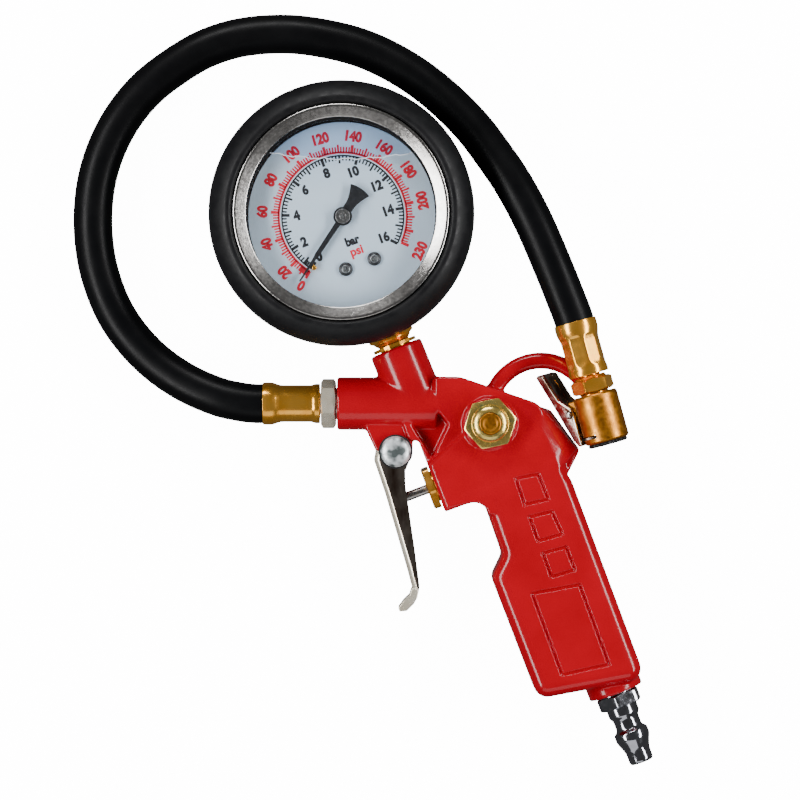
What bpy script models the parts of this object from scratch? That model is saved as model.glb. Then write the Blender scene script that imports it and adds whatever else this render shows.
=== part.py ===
"""Tyre inflator pistol with a bottom-entry dial gauge, a short hose and a clip-on chuck.

Run it with: blender --background --python part.py

The tool lies on its back on the plane z = 0, with the dial facing +Z. The origin is the centre of the
rubber boot's back face. The barrel runs along X and the gauge is on the barrel's +Y side.
Every dimension below is in millimetres, and the helpers turn it into metres.
"""

from math import asin, atan2, cos, degrees, pi, radians, sin, tan

import bmesh
import bpy
from mathutils import Matrix, Vector

MM = 0.001
GAP = 0.3  # between pieces that touch or rest on each other
MERGE = 0.01  # millimetres, for modifiers that weld

# Driving dimensions: the whole tool
AXIS_Z = 13.0  # barrel, stem, valve and inlet all lie in this plane
STEM_TILT = 22.0  # degrees, gauge stem from -Y towards +X
GRIP_TILT = 20.5  # degrees, grip from -Y towards +X
DIAL_TILT = 20.0  # degrees, printed scale, turned anticlockwise

# Gauge
BOOT_R = 40.9
BOOT_TOP = 34.6
BOOT_BACK = 2.5
CASE_R = 33.0
CASE_WALL = 0.8
CASE_BACK = BOOT_BACK + GAP
CASE_TOP = 30.0
BEZEL_R = 33.95
BEZEL_INNER_R = 29.0
DIAL_R = 29.0
DIAL_Z = 25.5
DIAL_SHIFT = 1.2  # pointer axis from the case's axis, towards the stem
PLATE_Z = (17.5, 23.2)  # undersides of the movement's back and front plates
PLATE_THICK = 0.8
POINTER_Z = 27.2
POINTER_SWEEP = 262.0  # degrees, zero to full scale
POINTER_ZERO = 236.5  # degrees, direction of the pointer at rest, from +X

# Movement, in the gauge's own frame (local -Y runs down the stem)
PINION_TEETH = 12
SECTOR_TEETH = 69
MODULE = 0.35
SECTOR_PIVOT = (10.0, -11.3)
TAIL_R = 5.0
LINK_X = 14.8
TIP_Y = -5.1

# Barrel, gauge boss and body
BARREL_START = -1.5
BARREL_Y = -58.5
BARREL_R = 8.0
STEM_BOSS_TOP = 44.4  # along the stem, from the gauge's centre
GRIP_HALF = 13.0
VALVE_HALF = 10.5
SLAB_HALF = 8.3
WEB_HALF = 3.0
HOOK_CENTRE = (61.7, -61.1)
HOOK_R = (13.3, 18.5)
HOOK_HALF = 2.2

# Valve, deflate valve and inlet, in the grip's frame (p across the grip, g down it)
VALVE_G = 88.9
NOSE_P = -2.3
INLET_P = 27.8
INLET_END_G = 168.4
DEFLATE = (20.1, 76.5)
DEFLATE_TOP = 25.2

# Trigger
PIVOT = (-10.1, 74.5)
TRIGGER_HALF = 6.3
TRIGGER_WALL = 1.0
ROD_R = 1.5

# Hose and chuck
HOSE_R = 6.1
FERRULE_LENGTH = 16.8
CHUCK_START = (71.9, -33.9)
CHUCK_TILT = 15.5  # degrees, chuck's axis from -Y towards +X
CHUCK_Z = AXIS_Z + HOOK_HALF + 7.3
CHUCK_ROLL = 38.0  # degrees that the clip lever hangs below the chuck's own plane
CHUCK_END = 37.4
LEVER_PIN = (8.6, 26.7)  # from the chuck's axis, and along it
LEVER_HALF = 4.0

# Hose route, from the barrel's ferrule to the chuck's: x, y, z of the centreline
HOSE_ROUTE = [
    (-24.1, -58.5, 13.0), (-27.0, -58.5, 13.0), (-32.0, -57.9, 12.7), (-39.0, -56.2, 11.8),
    (-48.6, -52.0, 9.9), (-57.8, -45.8, 8.0), (-65.7, -37.8, 6.7), (-71.6, -28.7, 6.2),
    (-75.7, -17.7, 6.2), (-77.5, -7.2, 6.2), (-77.6, 3.1, 6.2), (-76.1, 13.1, 6.2),
    (-72.8, 22.7, 6.2), (-67.7, 31.8, 6.2), (-60.9, 39.8, 6.2), (-52.5, 46.4, 6.2),
    (-42.8, 52.1, 6.2), (-31.7, 55.6, 6.2), (-18.7, 56.7, 6.2), (-6.7, 55.5, 6.3),
    (6.2, 52.2, 6.8), (18.2, 46.4, 7.9), (29.2, 38.5, 9.8), (39.6, 28.3, 12.5),
    (47.2, 18.2, 15.3), (53.2, 9.0, 17.7), (59.2, -2.5, 20.0), (65.3, -16.8, 22.0),
    (69.2, -26.6, 22.5), (70.6, -30.1, 22.5), (CHUCK_START[0] - 0.1, CHUCK_START[1] + 0.3, CHUCK_Z),
]

RED = ("red_paint", (0.72, 0.012, 0.016), 0.28, 0.1)
RUBBER = ("black_rubber", (0.02, 0.02, 0.022), 0.6, 0.0)
STEEL = ("steel", (0.62, 0.61, 0.58), 0.3, 1.0)
CHROME = ("chrome", (0.82, 0.82, 0.83), 0.12, 1.0)
BRASS = ("brass", (0.80, 0.50, 0.16), 0.28, 1.0)
BLACK = ("black_paint", (0.01, 0.01, 0.01), 0.5, 0.0)
WHITE = ("dial_white", (0.78, 0.83, 0.87), 0.5, 0.0)
CLEAR = ("window_clear", (0.9, 0.95, 1.0), 0.05, 0.0)


# ---------------------------------------------------------------- scene and materials


def clear_scene():
    for obj in list(bpy.data.objects):
        bpy.data.objects.remove(obj, do_unlink=True)


def collection(name):
    made = bpy.data.collections.new(name)
    bpy.context.scene.collection.children.link(made)
    return made


def material(kind):
    name, colour, roughness, metallic = kind
    found = bpy.data.materials.get(name)
    if found:
        return found
    made = bpy.data.materials.new(name)
    made.use_nodes = True
    shader = made.node_tree.nodes["Principled BSDF"]
    shader.inputs["Base Color"].default_value = (*colour, 1.0)
    shader.inputs["Roughness"].default_value = roughness
    shader.inputs["Metallic"].default_value = metallic
    return made


def add(name, mesh, kind, frame=None, cutter=False):
    """A new object, in the tool's collection, or hidden among the cutters."""
    obj = bpy.data.objects.new(name, mesh)
    (CUTTERS if cutter else PARTS).objects.link(obj)
    obj.matrix_world = frame or Matrix.Identity(4)
    if kind:
        mesh.materials.append(material(kind))
    if cutter:
        obj.hide_render = True
        obj.display_type = "WIRE"
    return obj


# ---------------------------------------------------------------- frames


def point(x, y, z=0.0):
    return Vector((x, y, z)) * MM


def frame_along(start, direction, side=(0, 0, 1)):
    """A frame at start (millimetres) whose Z runs along direction and whose X is side."""
    z = Vector(direction).normalized()
    x = Vector(side).normalized()
    y = z.cross(x)
    turn = Matrix((x, y, z)).transposed().to_4x4()
    return Matrix.Translation(point(*start)) @ turn


def tilted(angle):
    """Unit vectors (down, across) of a frame tilted by angle from -Y towards +X."""
    a = radians(angle)
    return (sin(a), -cos(a)), (cos(a), sin(a))


def grip_point(p, g):
    """World x, y of a place p across the grip and g down it."""
    down, across = tilted(GRIP_TILT)
    return p * across[0] + g * down[0], p * across[1] + g * down[1]


def grip_outline(corners):
    """Corners (p, g, radius) as x, y, radius."""
    return [(*grip_point(p, g), r) for p, g, r in corners]


def stem_point(x, y):
    """World x, y of a place in the gauge's own frame, where -Y runs down the stem."""
    down, across = tilted(STEM_TILT)
    return x * across[0] - y * down[0], x * across[1] - y * down[1]


# ---------------------------------------------------------------- shapes


def turned(name, kind, profile, frame=None, steps=32, cutter=False):
    """A solid of revolution. profile is (radius, z), running down its outer side."""
    closed = profile[0][0] > 0
    mesh = bpy.data.meshes.new(name)
    points = [(r * MM, 0, z * MM) for r, z in profile]
    edges = [(i, i + 1) for i in range(len(points) - 1)]
    if closed:
        edges.append((len(points) - 1, 0))
    mesh.from_pydata(points, edges, [])
    obj = add(name, mesh, kind, frame, cutter)
    screw = obj.modifiers.new("turn", "SCREW")
    screw.axis = "Z"
    screw.steps = screw.render_steps = steps
    screw.use_merge_vertices = True
    screw.merge_threshold = MERGE * MM
    screw.use_smooth_shade = True
    return obj


def rod(name, kind, radius, low, high, frame=None, steps=16, cutter=False):
    """A plain round bar along the frame's Z."""
    return turned(name, kind, [(0, high), (radius, high), (radius, low), (0, low)], frame, steps, cutter)


def tube(name, kind, outer, inner, low, high, frame=None, steps=32):
    profile = [(outer, high), (outer, low), (inner, low), (inner, high)]
    return turned(name, kind, profile, frame, steps)


def box(name, kind, low, high, frame=None, cutter=False):
    """A box between two corners in its frame."""
    bm = bmesh.new()
    bmesh.ops.create_cube(bm, size=1.0)
    size = [(b - a) * MM for a, b in zip(low, high)]
    middle = [(a + b) / 2 * MM for a, b in zip(low, high)]
    bmesh.ops.scale(bm, vec=size, verts=bm.verts)
    bmesh.ops.translate(bm, vec=middle, verts=bm.verts)
    mesh = bpy.data.meshes.new(name)
    bm.to_mesh(mesh)
    bm.free()
    return add(name, mesh, kind, frame, cutter)


def hexagon(flats, turn=0.0):
    radius = flats / 2 / cos(radians(30))
    return [(radius * cos(radians(60 * i + turn)), radius * sin(radians(60 * i + turn)), 0) for i in range(6)]


def rounded(corners, per_arc=5):
    """An outline with each corner (x, y, radius) replaced by an arc of that radius."""
    outline = []
    for i, (x, y, radius) in enumerate(corners):
        here = Vector((x, y))
        before = (Vector(corners[i - 1][:2]) - here).normalized()
        after = (Vector(corners[(i + 1) % len(corners)][:2]) - here).normalized()
        if radius <= 0:
            outline.append((x, y))
            continue
        half = before.angle(after) / 2
        middle = here + (before + after).normalized() * radius / sin(half)
        first = here + before * radius / tan(half) - middle
        last = here + after * radius / tan(half) - middle
        sweep = first.angle_signed(last)
        for k in range(per_arc):
            turn = Matrix.Rotation(-sweep * k / (per_arc - 1), 2)
            outline.append(tuple(middle + turn @ first))
    return outline


def slab(name, kind, corners, low, high, bevel=0.0, frame=None, cutter=False, per_arc=5, segments=2):
    """A flat plate with the outline's rounded corners, from z = low to high, with its edges rounded."""
    curve = bpy.data.curves.new(name, "CURVE")
    curve.dimensions = "2D"
    curve.fill_mode = "BOTH"
    curve.extrude = (high - low) / 2 * MM
    outline = rounded(corners, per_arc)
    spline = curve.splines.new("POLY")
    spline.points.add(len(outline) - 1)
    spline.use_cyclic_u = True
    for place, (x, y) in zip(spline.points, outline):
        place.co = (x * MM, y * MM, 0, 1)
    guide = bpy.data.objects.new(name + "_outline", curve)
    PARTS.objects.link(guide)
    mesh = mesh_of(guide)
    mesh.transform(Matrix.Translation((0, 0, (low + high) / 2 * MM)))
    mesh.name = name
    obj = add(name, mesh, kind, frame, cutter)
    if bevel:
        round_edges(obj, bevel, segments)
    return obj


def mesh_of(guide):
    """The mesh of a curve object, with its caps welded. The curve is removed."""
    bpy.context.view_layer.update()
    graph = bpy.context.evaluated_depsgraph_get()
    mesh = bpy.data.meshes.new_from_object(guide.evaluated_get(graph))
    bm = bmesh.new()
    bm.from_mesh(mesh)
    bmesh.ops.remove_doubles(bm, verts=bm.verts, dist=MERGE * MM)
    bmesh.ops.recalc_face_normals(bm, faces=bm.faces)
    bm.to_mesh(mesh)
    bm.free()
    bpy.data.objects.remove(guide)
    return mesh


def cast_slab(name, kind, corners, low, high, edge, frame=None, cutter=False, per_arc=5, segments=3):
    """A thick plate whose rim is rounded by edge: rings of the outline, inset towards both faces.

    corners (x, y, radius) run either way round.
    """
    count = len(corners)
    area = sum(corners[i - 1][0] * corners[i][1] - corners[i][0] * corners[i - 1][1] for i in range(count))
    if area < 0:
        corners = corners[::-1]
    arcs = []
    for i, (x, y, radius) in enumerate(corners):
        here = Vector((x, y))
        before = (Vector(corners[i - 1][:2]) - here).normalized()
        after = (Vector(corners[(i + 1) % count][:2]) - here).normalized()
        convex = before.cross(after) < 0
        radius = max(radius, edge + 0.15) if convex else max(radius, 0.15)
        half = before.angle(after) / 2
        middle = here + (before + after).normalized() * radius / sin(half)
        first = (here + before * radius / tan(half) - middle).normalized()
        last = (here + after * radius / tan(half) - middle).normalized()
        sweep = first.angle_signed(last)
        rays = [Matrix.Rotation(-sweep * k / (per_arc - 1), 2) @ first for k in range(per_arc)]
        arcs.append((middle, radius, -1 if convex else 1, rays))
    rings = []
    for k in range(segments + 1):
        a = pi / 2 * k / segments
        rings.append((edge * (1 - sin(a)), high - edge * (1 - cos(a))))
    rings = [(inset, z) for inset, z in rings] + [(inset, low + high - z) for inset, z in rings[::-1]]
    bm = bmesh.new()
    loops = []
    for inset, z in rings:
        loop = []
        for middle, radius, side, rays in arcs:
            for ray in rays:
                x, y = middle + ray * (radius + side * inset)
                loop.append(bm.verts.new((x * MM, y * MM, z * MM)))
        loops.append(loop)
    for upper, lower in zip(loops, loops[1:]):
        for i in range(len(upper)):
            bm.faces.new((upper[i], upper[i - 1], lower[i - 1], lower[i]))
    bm.faces.new(loops[0])
    bm.faces.new(loops[-1][::-1])
    bmesh.ops.recalc_face_normals(bm, faces=bm.faces)
    mesh = bpy.data.meshes.new(name)
    bm.to_mesh(mesh)
    bm.free()
    return add(name, mesh, kind, frame, cutter)


def bent_bar(name, kind, section, start, end, steps, frame=None, cutter=False):
    """A bar bent round the frame's Z, from start to end degrees. section is (radius, z)."""
    bm = bmesh.new()
    ring = [bm.verts.new((r * MM, 0, z * MM)) for r, z in section]
    bm.faces.new(ring)
    turn = Matrix.Rotation(radians(start), 3, "Z")
    bmesh.ops.rotate(bm, verts=bm.verts, cent=(0, 0, 0), matrix=turn)
    whole = bm.faces[:] + bm.edges[:] + bm.verts[:]
    bmesh.ops.spin(bm, geom=whole, cent=(0, 0, 0), axis=(0, 0, 1), angle=radians(end - start), steps=steps)
    bmesh.ops.recalc_face_normals(bm, faces=bm.faces)
    mesh = bpy.data.meshes.new(name)
    bm.to_mesh(mesh)
    bm.free()
    return add(name, mesh, kind, frame, cutter)


def round_edges(obj, width, segments=2):
    bevel = obj.modifiers.new("round_edges", "BEVEL")
    bevel.width = width * MM
    bevel.segments = segments
    bevel.limit_method = "ANGLE"
    bevel.angle_limit = radians(50)


def combine(obj, others, operation):
    for other in others:
        boolean = obj.modifiers.new(operation.lower(), "BOOLEAN")
        boolean.operation = operation
        boolean.solver = "EXACT"
        boolean.object = other


def cut(obj, *others):
    combine(obj, others, "DIFFERENCE")


def join(obj, *others):
    combine(obj, others, "UNION")


def swept(name, kind, points, radius, resolution=2, cutter=False):
    """A round wire or hose through the points, in millimetres."""
    curve = bpy.data.curves.new(name, "CURVE")
    curve.dimensions = "3D"
    curve.bevel_depth = radius * MM
    curve.bevel_resolution = resolution
    curve.use_fill_caps = True
    spline = curve.splines.new("POLY")
    spline.points.add(len(points) - 1)
    for place, where in zip(spline.points, points):
        place.co = (*point(*where), 1)
    return add(name, curve, kind, None, cutter)


def coil(name, kind, radius, wire, low, high, turns, frame, per_turn=12):
    """A compression spring along the frame's Z."""
    count = int(turns * per_turn)
    places = []
    for i in range(count + 1):
        a = 2 * pi * i / per_turn
        z = low + wire + (high - low - 2 * wire) * i / count
        place = frame @ point(radius * cos(a), radius * sin(a), z)
        places.append(tuple(place / MM))
    return swept(name, kind, places, wire, resolution=0)


def smooth_curve(route, count):
    """Points at even steps along a Catmull-Rom curve through the route."""
    ends = [Vector(r) for r in route]
    ends = [2 * ends[0] - ends[1], *ends, 2 * ends[-1] - ends[-2]]
    dense = []
    for a, b, c, d in zip(ends, ends[1:], ends[2:], ends[3:]):
        for k in range(12):
            t = k / 12
            curve = 2 * b + (c - a) * t + (2 * a - 5 * b + 4 * c - d) * t**2
            dense.append((curve + (3 * b - a - 3 * c + d) * t**3) / 2)
    dense.append(ends[-2])
    reach = [0.0]
    for a, b in zip(dense, dense[1:]):
        reach.append(reach[-1] + (b - a).length)
    evened, k = [], 0
    for i in range(count):
        want = reach[-1] * i / (count - 1)
        while k < len(dense) - 2 and reach[k + 1] < want:
            k += 1
        share = (want - reach[k]) / (reach[k + 1] - reach[k])
        evened.append(tuple(dense[k].lerp(dense[k + 1], share)))
    return evened


def toothed(teeth, module, first, last, slim):
    """Tooth corners of a gear from tooth number first to last, counted anticlockwise from +X."""
    pitch = module * teeth / 2
    top, root = pitch + 0.85 * module, pitch - 1.2 * module
    step = 2 * pi / teeth
    corners = []
    for i in range(first, last + 1):
        for share, radius in ((-0.30, root), (-slim, top), (slim, top), (0.30, root)):
            a = (i + share) * step
            corners.append((radius * cos(a), radius * sin(a), 0))
    return corners


# ---------------------------------------------------------------- gauge shell


def make_boot():
    """The rubber boot: a cup round the case, with a lip over the bezel and a way out for the stem."""
    inner, lip = CASE_R + GAP, BEZEL_R + GAP
    profile = [
        (0, BOOT_BACK),
        (inner, BOOT_BACK),
        (inner, 25.4),
        (lip, 25.8),
        (lip, 33.9),
        (34.6, 34.5),
        (35.4, BOOT_TOP),
        (37.5, 33.2),
        (39.6, 30.8),
        (40.6, 27.4),
        (BOOT_R, 24.0),
        (40.3, 14.0),
        (39.8, 6.0),
        (38.5, 2.0),
        (36.0, 0),
        (0, 0),
    ]
    boot = turned("gauge_boot", RUBBER, profile, steps=48)
    cut(boot, rod("boot_stem_hole", None, 8.4, 30, 46, STEM, 20, cutter=True))


def make_case():
    outer, inner = CASE_R, CASE_R - CASE_WALL
    profile = [
        (0, CASE_BACK + 1.0),
        (inner - 1.5, CASE_BACK + 1.0),
        (inner, CASE_BACK + 2.5),
        (inner, CASE_TOP),
        (outer, CASE_TOP),
        (outer, CASE_BACK + 2.0),
        (outer - 2.0, CASE_BACK),
        (0, CASE_BACK),
    ]
    case = turned("gauge_case", STEEL, profile, steps=40)
    cut(case, rod("case_stem_hole", None, 7.8, 25, 40, STEM, 16, cutter=True))
    cut(case, rod("case_fill_hole", None, 2.6, 28, 40, FILL, 12, cutter=True))
    plug = [(0, 32.8), (2.2, 32.8), (2.2, 31.2), (3.2, 31.2), (3.2, 30.4), (0, 30.4)]
    turned("fill_plug", RUBBER, plug, FILL, 12)


def make_bezel():
    profile = [
        (BEZEL_R, 33.0),
        (BEZEL_R, 26.0),
        (CASE_R + GAP, 26.0),
        (CASE_R + GAP, 32.7),
        (32.6, 33.3),
        (BEZEL_INNER_R, 32.7),
        (BEZEL_INNER_R, 33.5),
        (33.0, 34.2),
    ]
    turned("bezel_ring", CHROME, profile, steps=48)
    tube("window_gasket", RUBBER, 32.9, 30.3, CASE_TOP + 0.2, CASE_TOP + 0.7, steps=40)
    rod("gauge_window", CLEAR, 32.9, CASE_TOP + 1.0, CASE_TOP + 2.3, steps=40)


def dial_point(x, y):
    """World x, y of a place on the printed dial, from the pointer's axis."""
    a = radians(DIAL_TILT)
    cx, cy = stem_point(0, -DIAL_SHIFT)
    return cx + x * cos(a) - y * sin(a), cy + x * sin(a) + y * cos(a)


def make_dial():
    axis = stem_point(0, -DIAL_SHIFT)
    at_axis = Matrix.Translation(point(*axis))
    dial = rod("dial_plate", WHITE, DIAL_R, DIAL_Z, DIAL_Z + 0.5, at_axis, 48)
    cut(dial, rod("dial_axis_hole", None, 1.7, DIAL_Z - 1, DIAL_Z + 1, at_axis, 12, cutter=True))
    for side, x in (("left", -SCREW_X), ("right", SCREW_X)):
        at = Matrix.Translation(point(*dial_point(x, -SCREW_Y)))
        cut(dial, rod("dial_hole_" + side, None, 1.1, DIAL_Z - 1, DIAL_Z + 1, at, 12, cutter=True))
        head, low = DIAL_Z + 0.8, 19.0
        profile = [
            (0, head + 1.1), (1.3, head + 1.0), (2.1, head + 0.4), (2.1, head), (0.8, head), (0.8, low), (0, low)
        ]
        screw = turned("dial_screw_" + side, STEEL, profile, at, 16)
        for turn in (0, 90):
            slot = Matrix.Rotation(radians(turn + 35), 4, "Z")
            cutter = box(
                f"screw_cross_{side}_{turn}", None, (-1.1, -0.22, head + 0.6), (1.1, 0.22, head + 2), at @ slot, True
            )
            cut(screw, cutter)
    stop = radians(POINTER_ZERO + STOP_BEHIND)
    at = Matrix.Translation(point(axis[0] + STOP_R * cos(stop), axis[1] + STOP_R * sin(stop)))
    cut(dial, rod("dial_stop_hole", None, 0.75, DIAL_Z - 1, DIAL_Z + 1, at, 12, cutter=True))
    rod("zero_stop_pin", BRASS, 0.6, DIAL_Z - 0.6, POINTER_Z + 1.0, at, 12)


# ---------------------------------------------------------------- gauge movement


def make_socket():
    """The brass stem: an inner block with two dial posts, a wrench hexagon and the threaded end."""
    block = box("gauge_socket", BRASS, (-4.2, -6.6, 10.5), (4.2, 6.6, 31.0), STEM)
    shank = slab("socket_hexagon", None, hexagon(12.6, 30), 30.5, 41.6, frame=STEM, cutter=True)
    neck = [(0, 53.0), (4.2, 53.0), (4.85, 52.2), (4.85, 42.9), (6.2, 41.5), (6.2, 41.0), (0, 41.0)]
    posts = [
        rod(f"socket_post_{i}", None, 1.7, 12, DIAL_Z - GAP, Matrix.Translation(point(*dial_point(x, -SCREW_Y))), 12,
            cutter=True)
        for i, x in enumerate((-SCREW_X, SCREW_X))
    ]
    join(block, shank, turned("socket_neck", None, neck, STEM, 20, True), *posts)
    holes = [
        rod(f"post_hole_{i}", None, 1.1, 18, DIAL_Z + 1, Matrix.Translation(point(*dial_point(x, -SCREW_Y))), 10,
            cutter=True)
        for i, x in enumerate((-SCREW_X, SCREW_X))
    ]
    cut(block, rod("socket_bore", None, 1.6, 20, 60, STEM, 10, cutter=True), *holes)
    tube("stem_seal_washer", BRASS, 6.9, 5.2, STEM_BOSS_TOP - 1.3, STEM_BOSS_TOP - GAP, STEM, 24)


def make_bourdon_tube():
    """A C of flattened tube from the socket's block round to its free tip."""
    bows = [(-1.3, 7.6), (-0.7, 7), (0.7, 7), (1.3, 7.6), (1.3, 15.4), (0.7, 16), (-0.7, 16), (-1.3, 15.4)]
    bent_bar("bourdon_tube", BRASS, [(24 + x, z) for x, z in bows], -107.5, -368.0, 32, GAUGE)


def make_tube_tip():
    """The tube's end piece and the link that pulls the sector's tail."""
    tip = box("tube_tip", BRASS, (22.4, TIP_Y - 1.3, 7.0), (25.4, TIP_Y + 1.2, 18.8), GAUGE)
    arm = box("tip_arm", None, (LINK_X - 1.5, TIP_Y - 1.3, 17.6), (22.9, TIP_Y + 1.2, 18.8), GAUGE, True)
    rivet = rod("tip_rivet", None, 0.6, 18.5, 20.4, GAUGE @ Matrix.Translation(point(LINK_X, TIP_Y)), 10, cutter=True)
    join(tip, arm, rivet)
    tail_y = SECTOR_PIVOT[1] - TAIL_R * sin(radians(SECTOR_SWING / 2))
    ends = [(LINK_X - 1.6, tail_y - 1.6, 1.5), (LINK_X + 1.6, tail_y - 1.6, 1.5)]
    ends += [(LINK_X + 1.6, TIP_Y + 1.6, 1.5), (LINK_X - 1.6, TIP_Y + 1.6, 1.5)]
    link = slab("movement_link", BRASS, ends, 19.1, 19.8, frame=GAUGE, per_arc=4)
    cut(
        link,
        rod("link_hole_tip", None, 0.9, 18, 21, GAUGE @ Matrix.Translation(point(LINK_X, TIP_Y)), 10, cutter=True),
        rod("link_hole_tail", None, 1.05, 18, 21, GAUGE @ Matrix.Translation(point(LINK_X, tail_y)), 10, cutter=True),
    )


def make_movement():
    """Two plates on pillars, with the sector and the pinion between them."""
    px, py = SECTOR_PIVOT
    outline = [(-6.0, -14.0, 2), (12.3, -14.0, 2), (12.3, 5.0, 2), (8.0, 5.0, 2), (-2.0, 4.2, 3), (-6.0, 0.0, 3)]
    for name, low in zip(("movement_back_plate", "movement_front_plate"), PLATE_Z):
        plate = slab(name, BRASS, outline, low, low + PLATE_THICK, frame=GAUGE, per_arc=4)
        for label, (x, y), radius in (("pinion", (0, -DIAL_SHIFT), 0.85), ("sector", (px, py), 0.85)):
            at = GAUGE @ Matrix.Translation(point(x, y))
            cut(plate, rod(f"{name}_{label}_hole", None, radius, low - 1, low + 2, at, 10, cutter=True))
    for i, (x, y) in enumerate(((-4.4, -12.4), (10.6, 3.4)), 1):
        at = GAUGE @ Matrix.Translation(point(x, y))
        low, high = PLATE_Z[0] + PLATE_THICK + 0.15, PLATE_Z[1] - 0.15
        rod(f"movement_pillar_{i}", BRASS, 0.95, low, high, at, 12)


def make_sector():
    """The toothed sector, its arbor, and the tail with the link's pin."""
    px, py = SECTOR_PIVOT
    at = GAUGE @ Matrix.Translation(point(px, py))
    mesh_way = degrees(atan2(-DIAL_SHIFT - py, -px))
    step = 360 / SECTOR_TEETH
    first, last = -int(SECTOR_SWING / step) - 2, 1
    teeth = toothed(SECTOR_TEETH, MODULE, first, last, 0.12)
    hub = [(cos(radians(a)) * 2.0, sin(radians(a)) * 2.0, 0) for a in (60, 110, 160, 215, 265, 315, 365)]
    turn = radians(mesh_way)
    outline = []
    for x, y, _ in teeth:
        outline.append((x * cos(turn) - y * sin(turn), x * sin(turn) + y * cos(turn), 0))
    outline += [c for c in hub if 150 < degrees(atan2(c[1], c[0])) % 360 or degrees(atan2(c[1], c[0])) % 360 < 70]
    sector = slab("sector_gear", BRASS, outline, 20.6, 21.4, frame=at)
    tail_turn = Matrix.Rotation(radians(-SECTOR_SWING / 2), 4, "Z")
    tail = box("sector_tail", None, (0.5, -0.9, 20.6), (TAIL_R + 0.9, 0.9, 21.4), at @ tail_turn, True)
    pin = rod("sector_tail_pin", None, 0.5, 18.9, 21.0, at @ tail_turn @ Matrix.Translation(point(TAIL_R, 0)), 10,
              cutter=True)
    arbor = rod("sector_arbor", None, 0.55, 17.2, 24.2, at, 10, cutter=True)
    join(sector, tail, pin, arbor)


def make_pointer():
    axis = Matrix.Translation(point(*stem_point(0, -DIAL_SHIFT)))
    to_sector = Vector(stem_point(*SECTOR_PIVOT)) - Vector(stem_point(0, -DIAL_SHIFT))
    half_tooth = pi / PINION_TEETH
    turn = Matrix.Rotation(atan2(to_sector.y, to_sector.x) + half_tooth, 4, "Z")
    teeth = toothed(PINION_TEETH, MODULE, 0, PINION_TEETH - 1, 0.12)
    pinion = slab("pinion_shaft", STEEL, teeth, 20.4, 21.6, frame=axis @ turn)
    join(pinion, rod("pinion_arbor", None, 0.5, 17.2, 29.4, axis, 10, cutter=True))

    way = Matrix.Rotation(radians(POINTER_ZERO), 4, "Z")
    blade = [
        (2.9, 0.85, 0), (14.2, 0.72, 0), (15.2, 0.6, 0), (24.0, 0.18, 0), (24.0, -0.18, 0), (15.2, -0.6, 0),
        (14.2, -0.72, 0), (2.9, -0.85, 0),
    ]
    fan = [(-10.2 * cos(radians(a)), 10.2 * sin(radians(a)), 0) for a in range(-20, 21, 8)]
    weight = [(2.0, 1.6, 0), (2.0, -1.6, 0), (-2.4, -1.5, 0), (-4.5, -1.5, 0), (-7.0, -2.2, 0), *fan]
    weight += [(-7.0, 2.2, 0), (-4.5, 1.5, 0), (-2.4, 1.5, 0)]
    top = POINTER_Z + 0.5
    pointer = slab("pointer", BLACK, weight, POINTER_Z, top, frame=axis @ way)
    join(
        pointer,
        slab("pointer_blade", None, [(1.0, 0.85, 0), *blade, (1.0, -0.85, 0)], POINTER_Z, top, frame=axis @ way,
             cutter=True),
        rod("pointer_disc", None, 3.0, POINTER_Z, top, axis, 20, cutter=True),
    )
    cut(pointer, rod("pointer_hole", None, 1.5, POINTER_Z - 1, top + 1, axis, 12, cutter=True))
    hub = [(2.4, 28.5), (2.5, 28.2), (2.5, 28.0), (1.2, 28.0), (1.2, 26.9), (0.75, 26.9), (0.75, 28.9), (1.4, 28.9)]
    turned("pointer_hub", STEEL, hub, axis, 20)

    places, turns, per_turn = [], 3, 14
    for i in range(turns * per_turn + 1):
        a = 2 * pi * i / per_turn
        radius = 1.2 + 2.6 * i / (turns * per_turn)
        x, y = stem_point(0, -DIAL_SHIFT)
        places.append((x + radius * cos(a), y + radius * sin(a), 22.4))
    swept("hairspring", BRASS, places, 0.14, resolution=0)


# ---------------------------------------------------------------- gun body


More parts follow.
